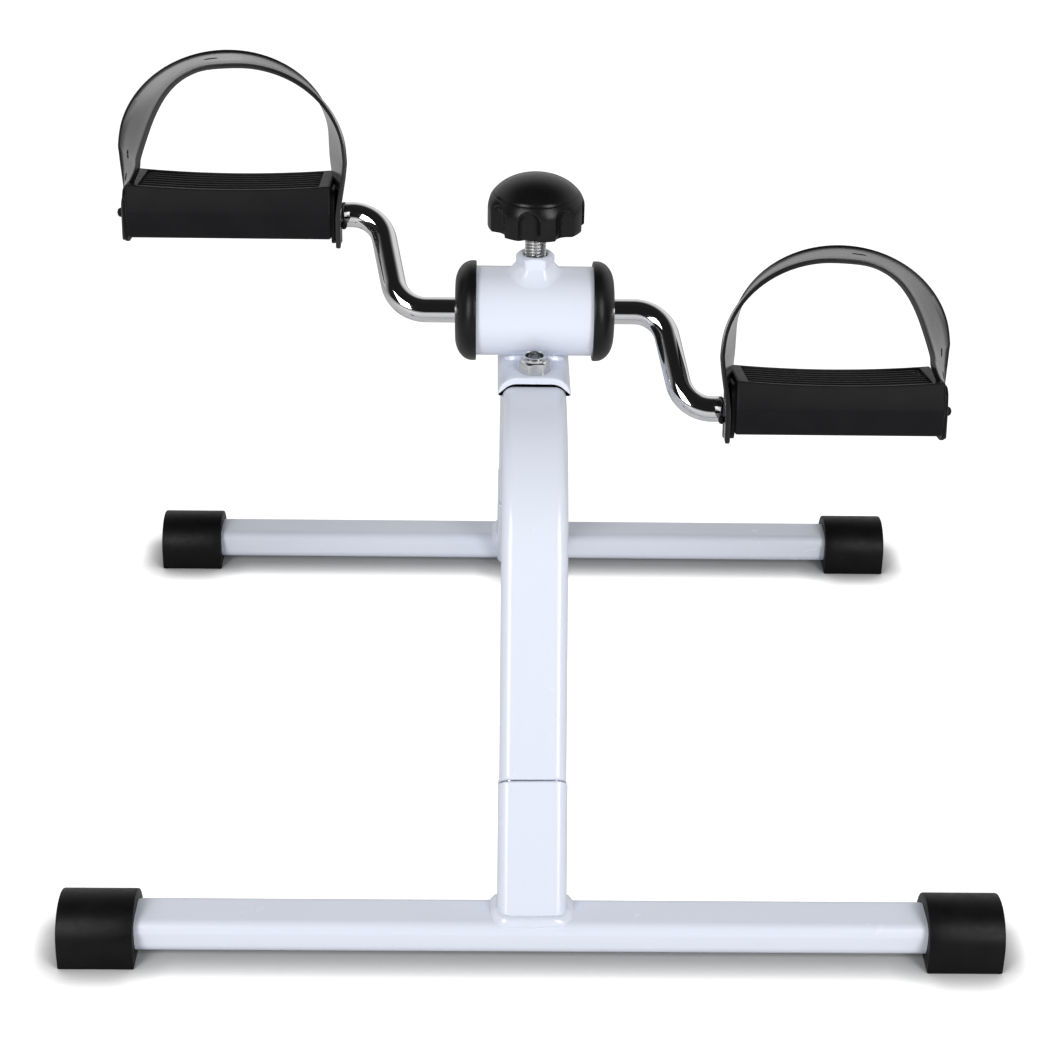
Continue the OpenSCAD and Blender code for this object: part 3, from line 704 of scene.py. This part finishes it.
def hub_cap(side):
    """A round-shouldered plastic cap over the hub's end."""
    low, high = box_mm("right_hub_cap")
    edge = (high.z - low.z) / 2
    start, end = low.x, high.x
    band, shoulder_r = 1.9, 10.8
    shoulder_x = end - start - band
    curve = []
    for i in range(15):
        a = pi / 2 * i / 14
        curve.append((start + band + shoulder_x * sin(a), edge - shoulder_r * (1 - cos(a))))
    rim = [(start, HUB_RADIUS + 0.15), (start, edge - 0.6), (start + 0.15, edge - 0.2), (start + 0.6, edge)]
    hole = BAR_RADIUS + 0.35
    face = [(end, hole + 3.6), (end - 0.35, hole + 3.1), (end - 0.35, hole + 1.4), (end, hole + 0.9),
            (end - 0.2, hole), (HUB_END + 0.2, hole), (HUB_END + 0.2, HUB_RADIUS + 0.15)]
    place = Matrix.Translation((0, 0, HUB_Z)) @ mirror(x=side == "left") @ TO_X
    add_piece(f"{side}_end_cap", turned(rim + curve + face, 144, closed=True), CAP, "frame",
              [f"{side}_hub_cap"], place)


def hub_bead():
    """The fillet runs that join the hub to the saddle plate."""
    high = box_mm("saddle_bracket")[1]
    reach = 14.0
    rings = []
    for i in range(33):
        x = -reach + 2 * reach * i / 32
        fade = sqrt(max(0.05, 1 - (x / reach) ** 4))
        size = (3.4 + 0.5 * ripple((x, 0, 0), 3.5, 5.0)) * fade
        toe = 8.2 + size
        rings.append([(x, -4.0, high.z - 1.5), (x, -4.0, high.z + 2.0), (x, -8.6, high.z + 2.0 * fade),
                      (x, -9.6 - 0.5 * size, high.z + 0.9 * fade + 0.25 * size),
                      (x, -toe, high.z + 0.35 * size * fade),
                      (x, -toe - 0.9, high.z + 0.05), (x, -toe - 1.0, high.z - 0.8)])
    shapes = [moved(loft(rings), mirror(y=back)) for back in (False, True)]
    add_piece("hub_beads", merged(*shapes), WELD, "frame", ["hub_weld"], sharp=70)


def boss():
    """The painted hex boss that the tension screw runs in."""
    low, high = box_mm("tension_boss")
    flats = high.y - low.y
    profile = [(HUB_Z + 15, hexagon(flats, 0.5))]
    profile += hex_edges(flats, HUB_Z + 10, high.z - 0.25, flats / 2 - 0.15)[2:]
    profile += [(high.z, flats / 2 - 0.8), (high.z, 6.5), (high.z - 0.25, 6.1), (high.z - 1.4, 5.2),
                (high.z - 9.0, 5.2), (high.z - 9.0, 0.0)]
    add_piece("boss", turned(profile, 120), PAINT, "frame", ["tension_boss"], sharp=50)


def boss_bead():
    """The weld that flares from the boss to the hub, a little uneven."""
    low, high = box_mm("tension_boss")
    hexes = hexagon(high.y - low.y, 0.5)
    def skin(a, r):
        return HUB_Z + sqrt(HUB_RADIUS ** 2 - (r * sin(a)) ** 2)
    def radius(share):
        def at(a):
            way = Vector((cos(a), sin(a), 0))
            outer = 14.2 + 0.7 * ripple(way * 12, 5.0, 2.0)
            return hexes(a) - 0.3 + (outer - hexes(a) + 0.3) * share
        return at
    def height(share):
        def at(a):
            r = radius(share)(a)
            way = Vector((cos(a), sin(a), 0))
            rise = 4.6 + 0.5 * ripple(way * r, 3.0, 7.0)
            return skin(a, r) + rise * (1 - share) ** 1.9 - 0.12
        return at
    profile = [(HUB_Z + 15, 5.5), (height(0.0), 5.5)]
    profile += [(height(i / 12), radius(i / 12)) for i in range(13)]
    profile += [(lambda a: skin(a, 14.2) - 1.2, 13.0)]
    add_piece("boss_bead", turned(profile, 120), WELD, "frame", ["boss_weld"], sharp=70)


# -------------------- tension screw and knob


def tension_screw():
    """The M10 screw, with its real thread and a plain tip."""
    low, high = box_mm("tension_screw")
    pitch, major, minor = 1.5, 5.0, 4.15
    start, per_turn = HUB_Z + 14, 10
    def radius_at(z):
        def at(a):
            phase = (z / pitch - a / (2 * pi)) % 1
            ridge = min(1.0, max(0.0, 1.9 - 4.4 * abs(phase - 0.5)))
            return minor + (major - minor) * ridge
        return at
    count = int((high.z - start) / pitch * per_turn)
    steps = [start + i * pitch / per_turn for i in range(count + 1)]
    thread = [(z, radius_at(z)) for z in steps]
    profile = [(low.z, 2.6), (low.z + 0.3, 3.0), (low.z + 1.8, 3.0), (low.z + 1.8, 4.2), (low.z + 2.4, 4.8),
               (start - 0.2, 4.8), *thread]
    add_piece("screw", turned(profile, 48), THREAD, "tension", ["tension_screw"], sharp=50)


def knob():
    """The lobed knob: a fluted skirt with arched flute tops, a step and a plain dome."""
    low, high = box_mm("tension_knob")
    neck_drop = 5.0
    bottom, top = low.z + neck_drop, high.z
    height = top - bottom
    radius, shoulder, crease_radius = 22.5, 9.5, 20.2
    lobes, flute_radius, flute_out, flute_top = 8, 5.6, 1.9, 9.2
    first = radians(-90 - 9.2)
    rise = height - shoulder
    def flute(a, z):
        """How far out the nearest flute lets the skirt reach."""
        turn = (a - first + pi / lobes) % (2 * pi / lobes) - pi / lobes
        size = flute_radius ** 2 - max(0.0, z - flute_top) ** 2
        across = (radius + flute_out) * sin(turn)
        if size <= across ** 2:
            return radius + 4.0
        return (radius + flute_out) * cos(turn) - sqrt(size - across ** 2)
    def soft_least(a, b, softness=0.45):
        gap = max(0.0, 1 - abs(a - b) / (3 * softness))
        return min(a, b) - gap * gap * softness * 0.75
    def fluted(base, z):
        return lambda a: soft_least(base, flute(a, z))
    outer = [(0.0, radius - 1.3), (0.12, radius - 0.7), (0.5, radius - 0.2), (1.1, radius)]
    outer += [(1.1 + (shoulder - 1.1) * i / 7, radius) for i in range(1, 8)]
    brim = acos(crease_radius / radius)
    for i in range(1, 15):
        a = brim * i / 14
        outer.append((shoulder + rise * sin(a), radius * cos(a)))
    profile = [(bottom + z, fluted(r, z)) for z, r in outer]
    ledge = outer[-1][0]
    profile += [(bottom + ledge + 0.03, crease_radius - 0.35), (bottom + ledge + 0.3, crease_radius - 0.5)]
    cap = acos((crease_radius - 0.5) / (radius - 0.1))
    for i in range(19):
        a = cap + (pi / 2 - cap) * i / 18 * 0.985
        profile.append((bottom + shoulder + rise * sin(a), (radius - 0.1) * cos(a)))
    under = [(bottom - neck_drop + 12, 0.0), (bottom - neck_drop + 12, 5.1), (bottom - neck_drop, 5.1),
             (bottom - neck_drop, 7.4), (bottom - neck_drop + 0.6, 8.0), (bottom + 6.6, 8.0),
             (bottom + 7.0, 8.4), (bottom + 7.0, 14.1), (bottom + 6.6, 14.5), (bottom + 0.5, 14.9),
             (bottom, 15.4)]
    add_piece("knob", turned(under + profile, 240), KNOB, "tension",
              ["tension_knob"], sharp=55)


# -------------------- crank


def crank_path():
    """Middle line and radius of the crank bar's right half, in the crank's own plane."""
    inner_x, outer_x, bend = 62.0, 72.0, 16.0
    angle = atan2(CRANK_RADIUS, outer_x - inner_x)
    tangent = bend * tan(angle / 2)
    start, end = inner_x - tangent, outer_x + tangent
    path = [((0.0, 0.0), BAR_RADIUS), ((start - 1, 0.0), BAR_RADIUS)]
    for i in range(25):
        a = pi / 2 - angle * i / 24
        path.append(((start + bend * cos(a), -bend + bend * sin(a)), BAR_RADIUS))
    for i in range(25):
        a = 3 * pi / 2 - angle * (1 - i / 24)
        path.append(((end + bend * cos(a), bend - CRANK_RADIUS + bend * sin(a)), BAR_RADIUS))
    step = 90.0
    tip = crank_high.x - CRANK_X
    for x, r in ((step - 0.6, BAR_RADIUS), (step, BAR_RADIUS - 0.5), (step + 0.01, SPINDLE_RADIUS),
                 (tip - 0.8, SPINDLE_RADIUS), (tip, SPINDLE_RADIUS - 0.8)):
        path.append(((x, -CRANK_RADIUS), r))
    return [(Vector(p), r) for p, r in path]


def crank():
    """The one-piece cranked bar, bent from chromed round steel."""
    right = crank_path()
    path = [(-p, r) for p, r in reversed(right[1:])] + right
    steps = 56
    rings = []
    for i, (p, r) in enumerate(path):
        way = (path[min(i + 1, len(path) - 1)][0] - path[max(i - 1, 0)][0]).normalized()
        side = Vector((-way.y, way.x))
        rings.append([(p.x + side.x * r * cos(a), p.y + side.y * r * cos(a), r * sin(a))
                      for a in (2 * pi * k / steps for k in range(steps))])
    add_piece("crank", loft(rings), CHROME, "crank", ["crank_bar"], crank_place(), sharp=50)


# -------------------- pedals


def tread_height(x):
    """Height of the dished tread at x."""
    half = (PEDAL_OUTER - PEDAL_INNER) / 2
    return PEDAL_TOP - PEDAL_SAG * (1 - ((x - PEDAL_MIDDLE) / half) ** 2)


BORDER = 5.5
POCKET_DEPTH = 4.6
TREAD_HALF = 17.5


def pedal_section(x, inset, pocket):
    """Outline of the pedal body across X, drawn in by inset, with the tread's pocket that deep."""
    top = tread_height(x) - inset
    low, facet = -8.0 + inset, 5.0
    wide, rail, sole = 22.0 - inset, 20.2 - inset, 19.4 - inset
    lip = TREAD_HALF + 0.15
    right = [(sole - 2.4, low), (sole - 0.9, low + 0.15), (sole - 0.1, low + 0.9),
             (wide - 0.35, facet - 2.4), (wide - 0.02, facet - 0.35), (wide - 0.02, facet + 0.35),
             (rail + 0.12, top - 1.1), (rail - 0.25, top - 0.3), (rail - 0.9, top), (lip + 0.5, top),
             (lip + 0.12, top - min(0.12, pocket)), (lip, top - min(0.5, pocket)), (lip, top - pocket)]
    floor = [(lip * (1 - i / 6), top - pocket) for i in range(1, 6)]
    half = right + floor
    return [(x, y, z) for y, z in half] + [(x, -y, z) for y, z in reversed(half)]


def pedal_body(side):
    """The moulded pedal: five flats, a dished top with a raised rim, and a pocket for the tread."""
    start, end = PEDAL_INNER, PEDAL_OUTER
    ends = ((0.0, 0.9, 0), (0.25, 0.3, 0), (0.9, 0, 0), (BORDER - 0.4, 0, 0), (BORDER - 0.1, 0, 0.1))
    inner, outer = start + BORDER, end - BORDER
    rings = [pedal_section(start + run, *cut) for run, *cut in ends]
    rings += [pedal_section(inner + (outer - inner) * i / 24, 0, POCKET_DEPTH) for i in range(25)]
    rings += [pedal_section(end - run, *cut) for run, *cut in reversed(ends)]
    add_piece(f"{side}_pedal", loft(rings), PEDAL, f"{side}_pedal", [f"{side}_pedal_body"],
              pedal_place(side), sharp=22)


def pedal_tread(side):
    """The ribbed rubber pad in the pedal's pocket."""
    ribs, groove, rib_top = 7, 1.5, 0.25
    pitch = 2 * TREAD_HALF / ribs
    half = (pitch - groove) / 2
    flank = ((0.05, -1.7), (-0.15, -0.9), (-0.7, -rib_top))
    across = []
    for i in range(ribs):
        middle = -TREAD_HALF + pitch * (i + 0.5)
        across += [(middle - half - out, z) for out, z in flank] + [(middle, -0.1)]
        across += [(middle + half + out, z) for out, z in reversed(flank)]
    start, end = PEDAL_INNER + BORDER + 0.15, PEDAL_OUTER - BORDER - 0.15
    rings = []
    for i in range(25):
        x = start + (end - start) * i / 24
        top = tread_height(x) - 0.5
        fall = 0.5 if i in (0, 24) else 0.0
        ring = [(x, y, top + z - fall) for y, z in across]
        rings.append(ring + [(x, TREAD_HALF, top - 3.0), (x, -TREAD_HALF, top - 3.0)])
    add_piece(f"{side}_tread", loft(rings), TREAD, f"{side}_pedal", [f"{side}_pedal_tread"],
              pedal_place(side), sharp=45)


def end_plate(side, inboard):
    """The plate at a pedal's end, with the mushroom peg that the strap buttons on."""
    thick, edge = 2.0, 0.5
    if inboard:
        x0, away, peg_y, peg_z = PEDAL_INNER, -1, INBOARD_PEG_Y, -2.0
    else:
        x0, away, peg_y, peg_z = PEDAL_OUTER, 1, 0.0, 0.0
    size = (36, 26, 6)
    outline = rounded_rectangle(*size)
    slim = rounded_rectangle(*size, edge)
    shallow = rounded_rectangle(*size, edge / 2)
    def ring(points, x):
        return [(x0 + away * x, p.x, p.y + 2) for p in points]
    plate = loft([ring(outline, 0.02), ring(outline, thick - edge), ring(shallow, thick - 0.25),
                  ring(slim, thick)])
    peg = [(thick - 0.5, 1.9), (thick, 1.9), (thick + 0.3, 1.45), (thick + 2.9, 1.4), (thick + 3.0, 1.8),
           (thick + 3.3, 2.15), (thick + 4.1, 2.2), (thick + 4.9, 1.6), (thick + 5.3, 0.6)]
    place = Matrix.Translation((x0, peg_y, peg_z)) @ mirror(x=away < 0) @ TO_X
    name = "inboard" if inboard else "outboard"
    add_piece(f"{side}_{name}_end", merged(plate, moved(turned(peg, 40), place)), PEDAL, f"{side}_pedal",
              [f"{side}_{name}_plate"], pedal_place(side), sharp=35)


STRAP_THICKNESS = 2.4
STRAP_HALF = 18.0
STRAP_SPRING = 30.0
TAIL_HALF = 6.0
TAIL_END = -12.0
TAIL_GAP = 4.6
TAIL_STEPS = 9
ARCH_STEPS = 14
INBOARD_PEG_Y = -13.0


def smooth(value, low, high):
    """0 below low, 1 above high and an even ease between them."""
    share = min(1.0, max(0.0, (value - low) / (high - low)))
    return share * share * (3 - 2 * share)


def strap_edge(rear):
    """One edge of the strap's outer face, from the outboard tail over the top to the inboard tail.

    The top is an arch. The strap is twisted, so its rear edge is the wider and further outboard one,
    while its front edge has a squarer crown and splays out towards the outboard tail.
    """
    way = 1 if rear else -1
    offset, half, rise, lean = (4.6, 51.8, 44.8, 3.0) if rear else (-6.9, 49.0, 44.0, 0.0)
    splay, crown = (0.0, 1.0) if rear else (5.0, 0.7)
    middle = PEDAL_MIDDLE + offset
    heights = [TAIL_END + (STRAP_SPRING - TAIL_END) * i / TAIL_STEPS for i in range(TAIL_STEPS)]
    outboard, inboard = [], []
    for z in heights:
        spread_out = smooth(z, 4.0, STRAP_SPRING)
        tail_x = PEDAL_OUTER + TAIL_GAP
        x = tail_x + (middle + half - tail_x) * spread_out
        outboard.append((x, way * (TAIL_HALF + (STRAP_HALF - TAIL_HALF) * spread_out), z))
        spread_in = smooth(z, 0.0, STRAP_SPRING)
        tail_x = PEDAL_INNER - TAIL_GAP
        tail_y = INBOARD_PEG_Y + way * TAIL_HALF
        x = tail_x + (middle - half - tail_x) * spread_in
        inboard.append((x, tail_y + (way * STRAP_HALF - tail_y) * spread_in, z))
    top = []
    for i in range(ARCH_STEPS + 1):
        a = pi * i / ARCH_STEPS
        if 2 * i < ARCH_STEPS:
            reach = (half - splay) * cos(a) ** crown + splay * (1 - sin(a)) ** 3
        else:
            reach = half * cos(a)
        x = middle + reach - lean * sin(a)
        top.append((x, way * STRAP_HALF, STRAP_SPRING + rise * sin(a)))
    return outboard + top + inboard[::-1]


def strap_faces():
    """Rows of points across the strap's outer face, and the direction square to it at each."""
    front = spline(strap_edge(rear=False), 5)
    rear = spline(strap_edge(rear=True), 5)
    across = [0.0, 0.015, 0.035, 0.055, 0.075, 0.3, 0.5, 0.7, 0.93, 0.945, 0.96, 0.98, 1.0]
    rows = [[f.lerp(r, t) for t in across] for f, r in zip(front, rear)]
    normals = []
    for i, row in enumerate(rows):
        ahead, behind = rows[min(i + 1, len(rows) - 1)], rows[max(i - 1, 0)]
        width = row[-1] - row[0]
        normals.append([width.cross(a - b).normalized() for a, b in zip(ahead, behind)])
    return rows, normals


def foot_strap(side):
    """The moulded vinyl strap: a twisted band with thin rims, narrow buttoned tails and a slot."""
    rows, normals = strap_faces()
    rim = [-0.3, -0.05, 0.0, -0.05, -0.15, -0.4, -0.6, -0.75, -0.85, -0.5, 0.0, 0.0, -0.3]
    rings = []
    last = len(rows) - 1
    for i, (row, square) in enumerate(zip(rows, normals)):
        end = 0.7 if i in (0, last) else 1.0
        wide = min(1.0, (row[-1] - row[0]).length / 30)
        outer = [p + n * (drop * wide - (1 - end)) for p, n, drop in zip(row, square, rim)]
        inner = [p - n * (STRAP_THICKNESS - (1 - end)) for p, n in zip(row, square)]
        side_way = (row[-1] - row[0]).normalized()
        rear_bulge = [row[-1] - square[-1] * (STRAP_THICKNESS * t) + side_way * 0.35 for t in (0.3, 0.7)]
        front_bulge = [row[0] - square[0] * (STRAP_THICKNESS * t) - side_way * 0.12 for t in (0.7, 0.3)]
        rings.append(outer + rear_bulge + inner[::-1] + front_bulge)
    strap = add_piece(f"{side}_strap", loft(rings), VINYL, f"{side}_pedal",
                      [f"{side}_foot_strap"], pedal_place(side), sharp=32)
    cut_away(strap, [moved(tool, pedal_place(side)) for tool in strap_holes(rows, normals)], sharp=32)


def strap_holes(rows, normals):
    """Tools for the slot at the top, the adjustment holes and the peg holes."""
    middles = [(row[0] + row[-1]) / 2 for row in rows]
    half = len(rows) // 2
    outboard, inboard = range(2, half), range(half, len(rows) - 2)
    def nearest(choice, axis, value):
        return min(choice, key=lambda i: abs(middles[i][axis] - value))
    wanted = [(nearest(range(half - 20, half + 20), 0, 149.0), 6.8, 3.4),
              (nearest(outboard, 2, 28.0), 4.4, 4.4),
              (nearest(outboard, 2, 17.0), 4.4, 4.4), (nearest(outboard, 2, 0.0), 3.6, 3.6),
              (nearest(inboard, 2, -2.0), 3.6, 3.6)]
    tools = []
    for row, length, width in wanted:
        normal = normals[row][6]
        along = (rows[row + 1][6] - rows[row - 1][6]).normalized()
        aside = normal.cross(along)
        outline = rounded_rectangle(length, width, width / 2 - 0.01, steps=6, support=0.005)
        tools.append(loft([[middles[row] + along * p.x + aside * p.y + normal * d for p in outline]
                           for d in (-4, 4)]))
    return tools


# -------------------- hidden parts


def coat_hidden_parts():
    """Parts inside the hub, the legs and the pedals keep their CAD shape and get a finish."""
    coats = {ZINC: ["front_joiner_sleeve", "rear_joiner_sleeve"],
             NYLON: ["lower_brake_block", "brake_shoe"]}
    for side in ("left", "right"):
        coats[ZINC] += [f"{side}_spindle_washer", f"{side}_spindle_clip"]
        coats[NYLON] += [f"{side}_bearing_bush", f"{side}_pedal_bushes"]
    for material, names in coats.items():
        for name in names:
            mesh = FRAME_NODES[name].data
            mesh.materials.clear()
            mesh.materials.append(material)


# -------------------- studio


def camera():
    """The camera, which stands in front, a little to the left, and looks down."""
    place = Vector((-21.3, -982.1, 649.0)) * MM
    yaw, pitch, roll = radians(1.09), radians(28.38), radians(1.0)
    data = bpy.data.cameras.new("camera")
    data.sensor_width = 36.0
    data.lens = 77.14
    data.clip_start = 0.05
    data.clip_end = 200.0
    eye = put("camera", data)
    turn = Matrix.Rotation(-yaw, 4, "Z") @ Matrix.Rotation(pi / 2 - pitch, 4, "X")
    eye.matrix_world = Matrix.Translation(place) @ turn @ Matrix.Rotation(roll, 4, "Z")
    bpy.context.scene.camera = eye


def floor():
    """A wide white floor that glows a little, with a painted contact shadow: its glow fades close under the
    object.
    """
    material = bpy.data.materials.new("floor")
    material.use_nodes = True
    shader = material.node_tree.nodes["Principled BSDF"]
    shader.inputs["Base Color"].default_value = (*FLOOR_COLOUR, 1)
    shader.inputs["Roughness"].default_value = 0.9
    shader.inputs["Specular IOR Level"].default_value = 0.1
    # Painted contact shadow: ambient occlusion dims the floor's glow under and beside the object
    painted_shadow_ao = add_node(material, "ShaderNodeAmbientOcclusion", samples=12, Distance=SHADOW_REACH * MM)
    painted_shadow_falloff = add_node(material, "ShaderNodeMath", operation="POWER")
    wire(material, painted_shadow_ao.outputs["AO"], painted_shadow_falloff.inputs[0])
    painted_shadow_falloff.inputs[1].default_value = SHADOW_POWER
    seen = add_node(material, "ShaderNodeLightPath")
    strength = spread(material, seen.outputs["Is Camera Ray"], UNSEEN_GLOW, FLOOR_GLOW, 0.0, 1.0)
    total = add_node(material, "ShaderNodeMath", operation="MULTIPLY")
    wire(material, painted_shadow_falloff.outputs[0], total.inputs[0])
    wire(material, strength, total.inputs[1])
    wire(material, total.outputs[0], shader.inputs["Emission Strength"])
    mesh = bpy.data.meshes.new("floor")
    corners = [(x * FLOOR_REACH, y * FLOOR_REACH, 0) for x, y in ((-1, -1), (1, -1), (1, 1), (-1, 1))]
    mesh.from_pydata(corners, [], [(0, 1, 2, 3)])
    mesh.materials.append(material)
    ground = put("floor", mesh)


def soft_light(name, azimuth):
    """A tall soft light that looks at the object. Azimuth 0 is in front and 90 on the right."""
    a, e = radians(azimuth), radians(LIGHT_ELEVATION)
    way = Vector((sin(a) * cos(e), -cos(a) * cos(e), sin(e)))
    data = bpy.data.lights.new(name, "AREA")
    data.shape = "RECTANGLE"
    data.size, data.size_y = LIGHT_SIZE
    data.energy = LIGHT_POWER
    light = put(name, data)
    light.location = Vector(LIGHT_AIM) + way * LIGHT_DISTANCE
    light.rotation_mode = "QUATERNION"
    light.rotation_quaternion = way.to_track_quat("Z", "Y")


def world():
    """A room with a white back wall, a dim ceiling and a dim front, which itself is seen as plain white."""
    studio = bpy.data.worlds.new("studio")
    bpy.context.scene.world = studio
    studio.use_nodes = True
    parts = add_node(studio, "ShaderNodeSeparateXYZ")
    wire(studio, add_node(studio, "ShaderNodeTexCoord").outputs["Generated"], parts.inputs[0])
    ramp = add_node(studio, "ShaderNodeValToRGB")
    wire(studio, parts.outputs["Z"], ramp.inputs["Fac"])
    stops = ramp.color_ramp.elements
    stops[0].position, stops[0].color = 0.0, (*WALL, 1)
    stops[1].position, stops[1].color = 0.85, (*CEILING, 1)
    stops.new(0.55).color = (*WALL, 1)
    back = spread(studio, parts.outputs["Y"], 0.0, 1.0, first=-0.35, last=0.25)
    room = mixed(studio, back, FRONT_ROOM, ramp.outputs["Color"])
    seen = add_node(studio, "ShaderNodeLightPath")
    shown = mixed(studio, seen.outputs["Is Camera Ray"], room, BACKDROP)
    background = studio.node_tree.nodes["Background"]
    wire(studio, shown, background.inputs["Color"])
    background.inputs["Strength"].default_value = 1.0


# How brightly the floor is seen, and how brightly it shines on the object
FLOOR_GLOW = 0.95
UNSEEN_GLOW = FLOOR_GLOW * 0.3
FLOOR_COLOUR = (0.45, 0.45, 0.45)
FLOOR_REACH = 60.0
# How far the painted contact shadow reaches, in millimetres, and how dark it gets
SHADOW_REACH = 17.0
SHADOW_POWER = 4.2
WALL = (0.85, 0.85, 0.85)
BACKDROP = (1.0, 1.0, 1.0)
CEILING = (0.02, 0.02, 0.02)
FRONT_ROOM = (0.015, 0.015, 0.015)
# The two lights, in metres, degrees and watts
LIGHT_AIM = (0, 0, 0.17)
LIGHT_AZIMUTH = 35
LIGHT_ELEVATION = 26
LIGHT_DISTANCE = 1.5
LIGHT_SIZE = (0.5, 1.0)
LIGHT_POWER = 12.5


def studio():
    """Camera, floor, room and two tall front lights."""
    camera()
    floor()
    world()
    soft_light("left_light", -LIGHT_AZIMUTH)
    soft_light("right_light", LIGHT_AZIMUTH)
    bpy.context.scene.view_settings.view_transform = "Standard"


# -------------------- build

studio()
for back in (False, True):
    foot_tube(back)
    stub_tube(back)
    stub_weld(back)
    for left in (False, True):
        foot_cap(back, left)
arch_tube()
saddle()
fasteners()
joint_screws()
hub_shell()
hub_bead()
boss()
boss_bead()
tension_screw()
knob()
crank()
for side in ("left", "right"):
    hub_cap(side)
    pedal_body(side)
    pedal_tread(side)
    end_plate(side, inboard=True)
    end_plate(side, inboard=False)
    foot_strap(side)
coat_hidden_parts()
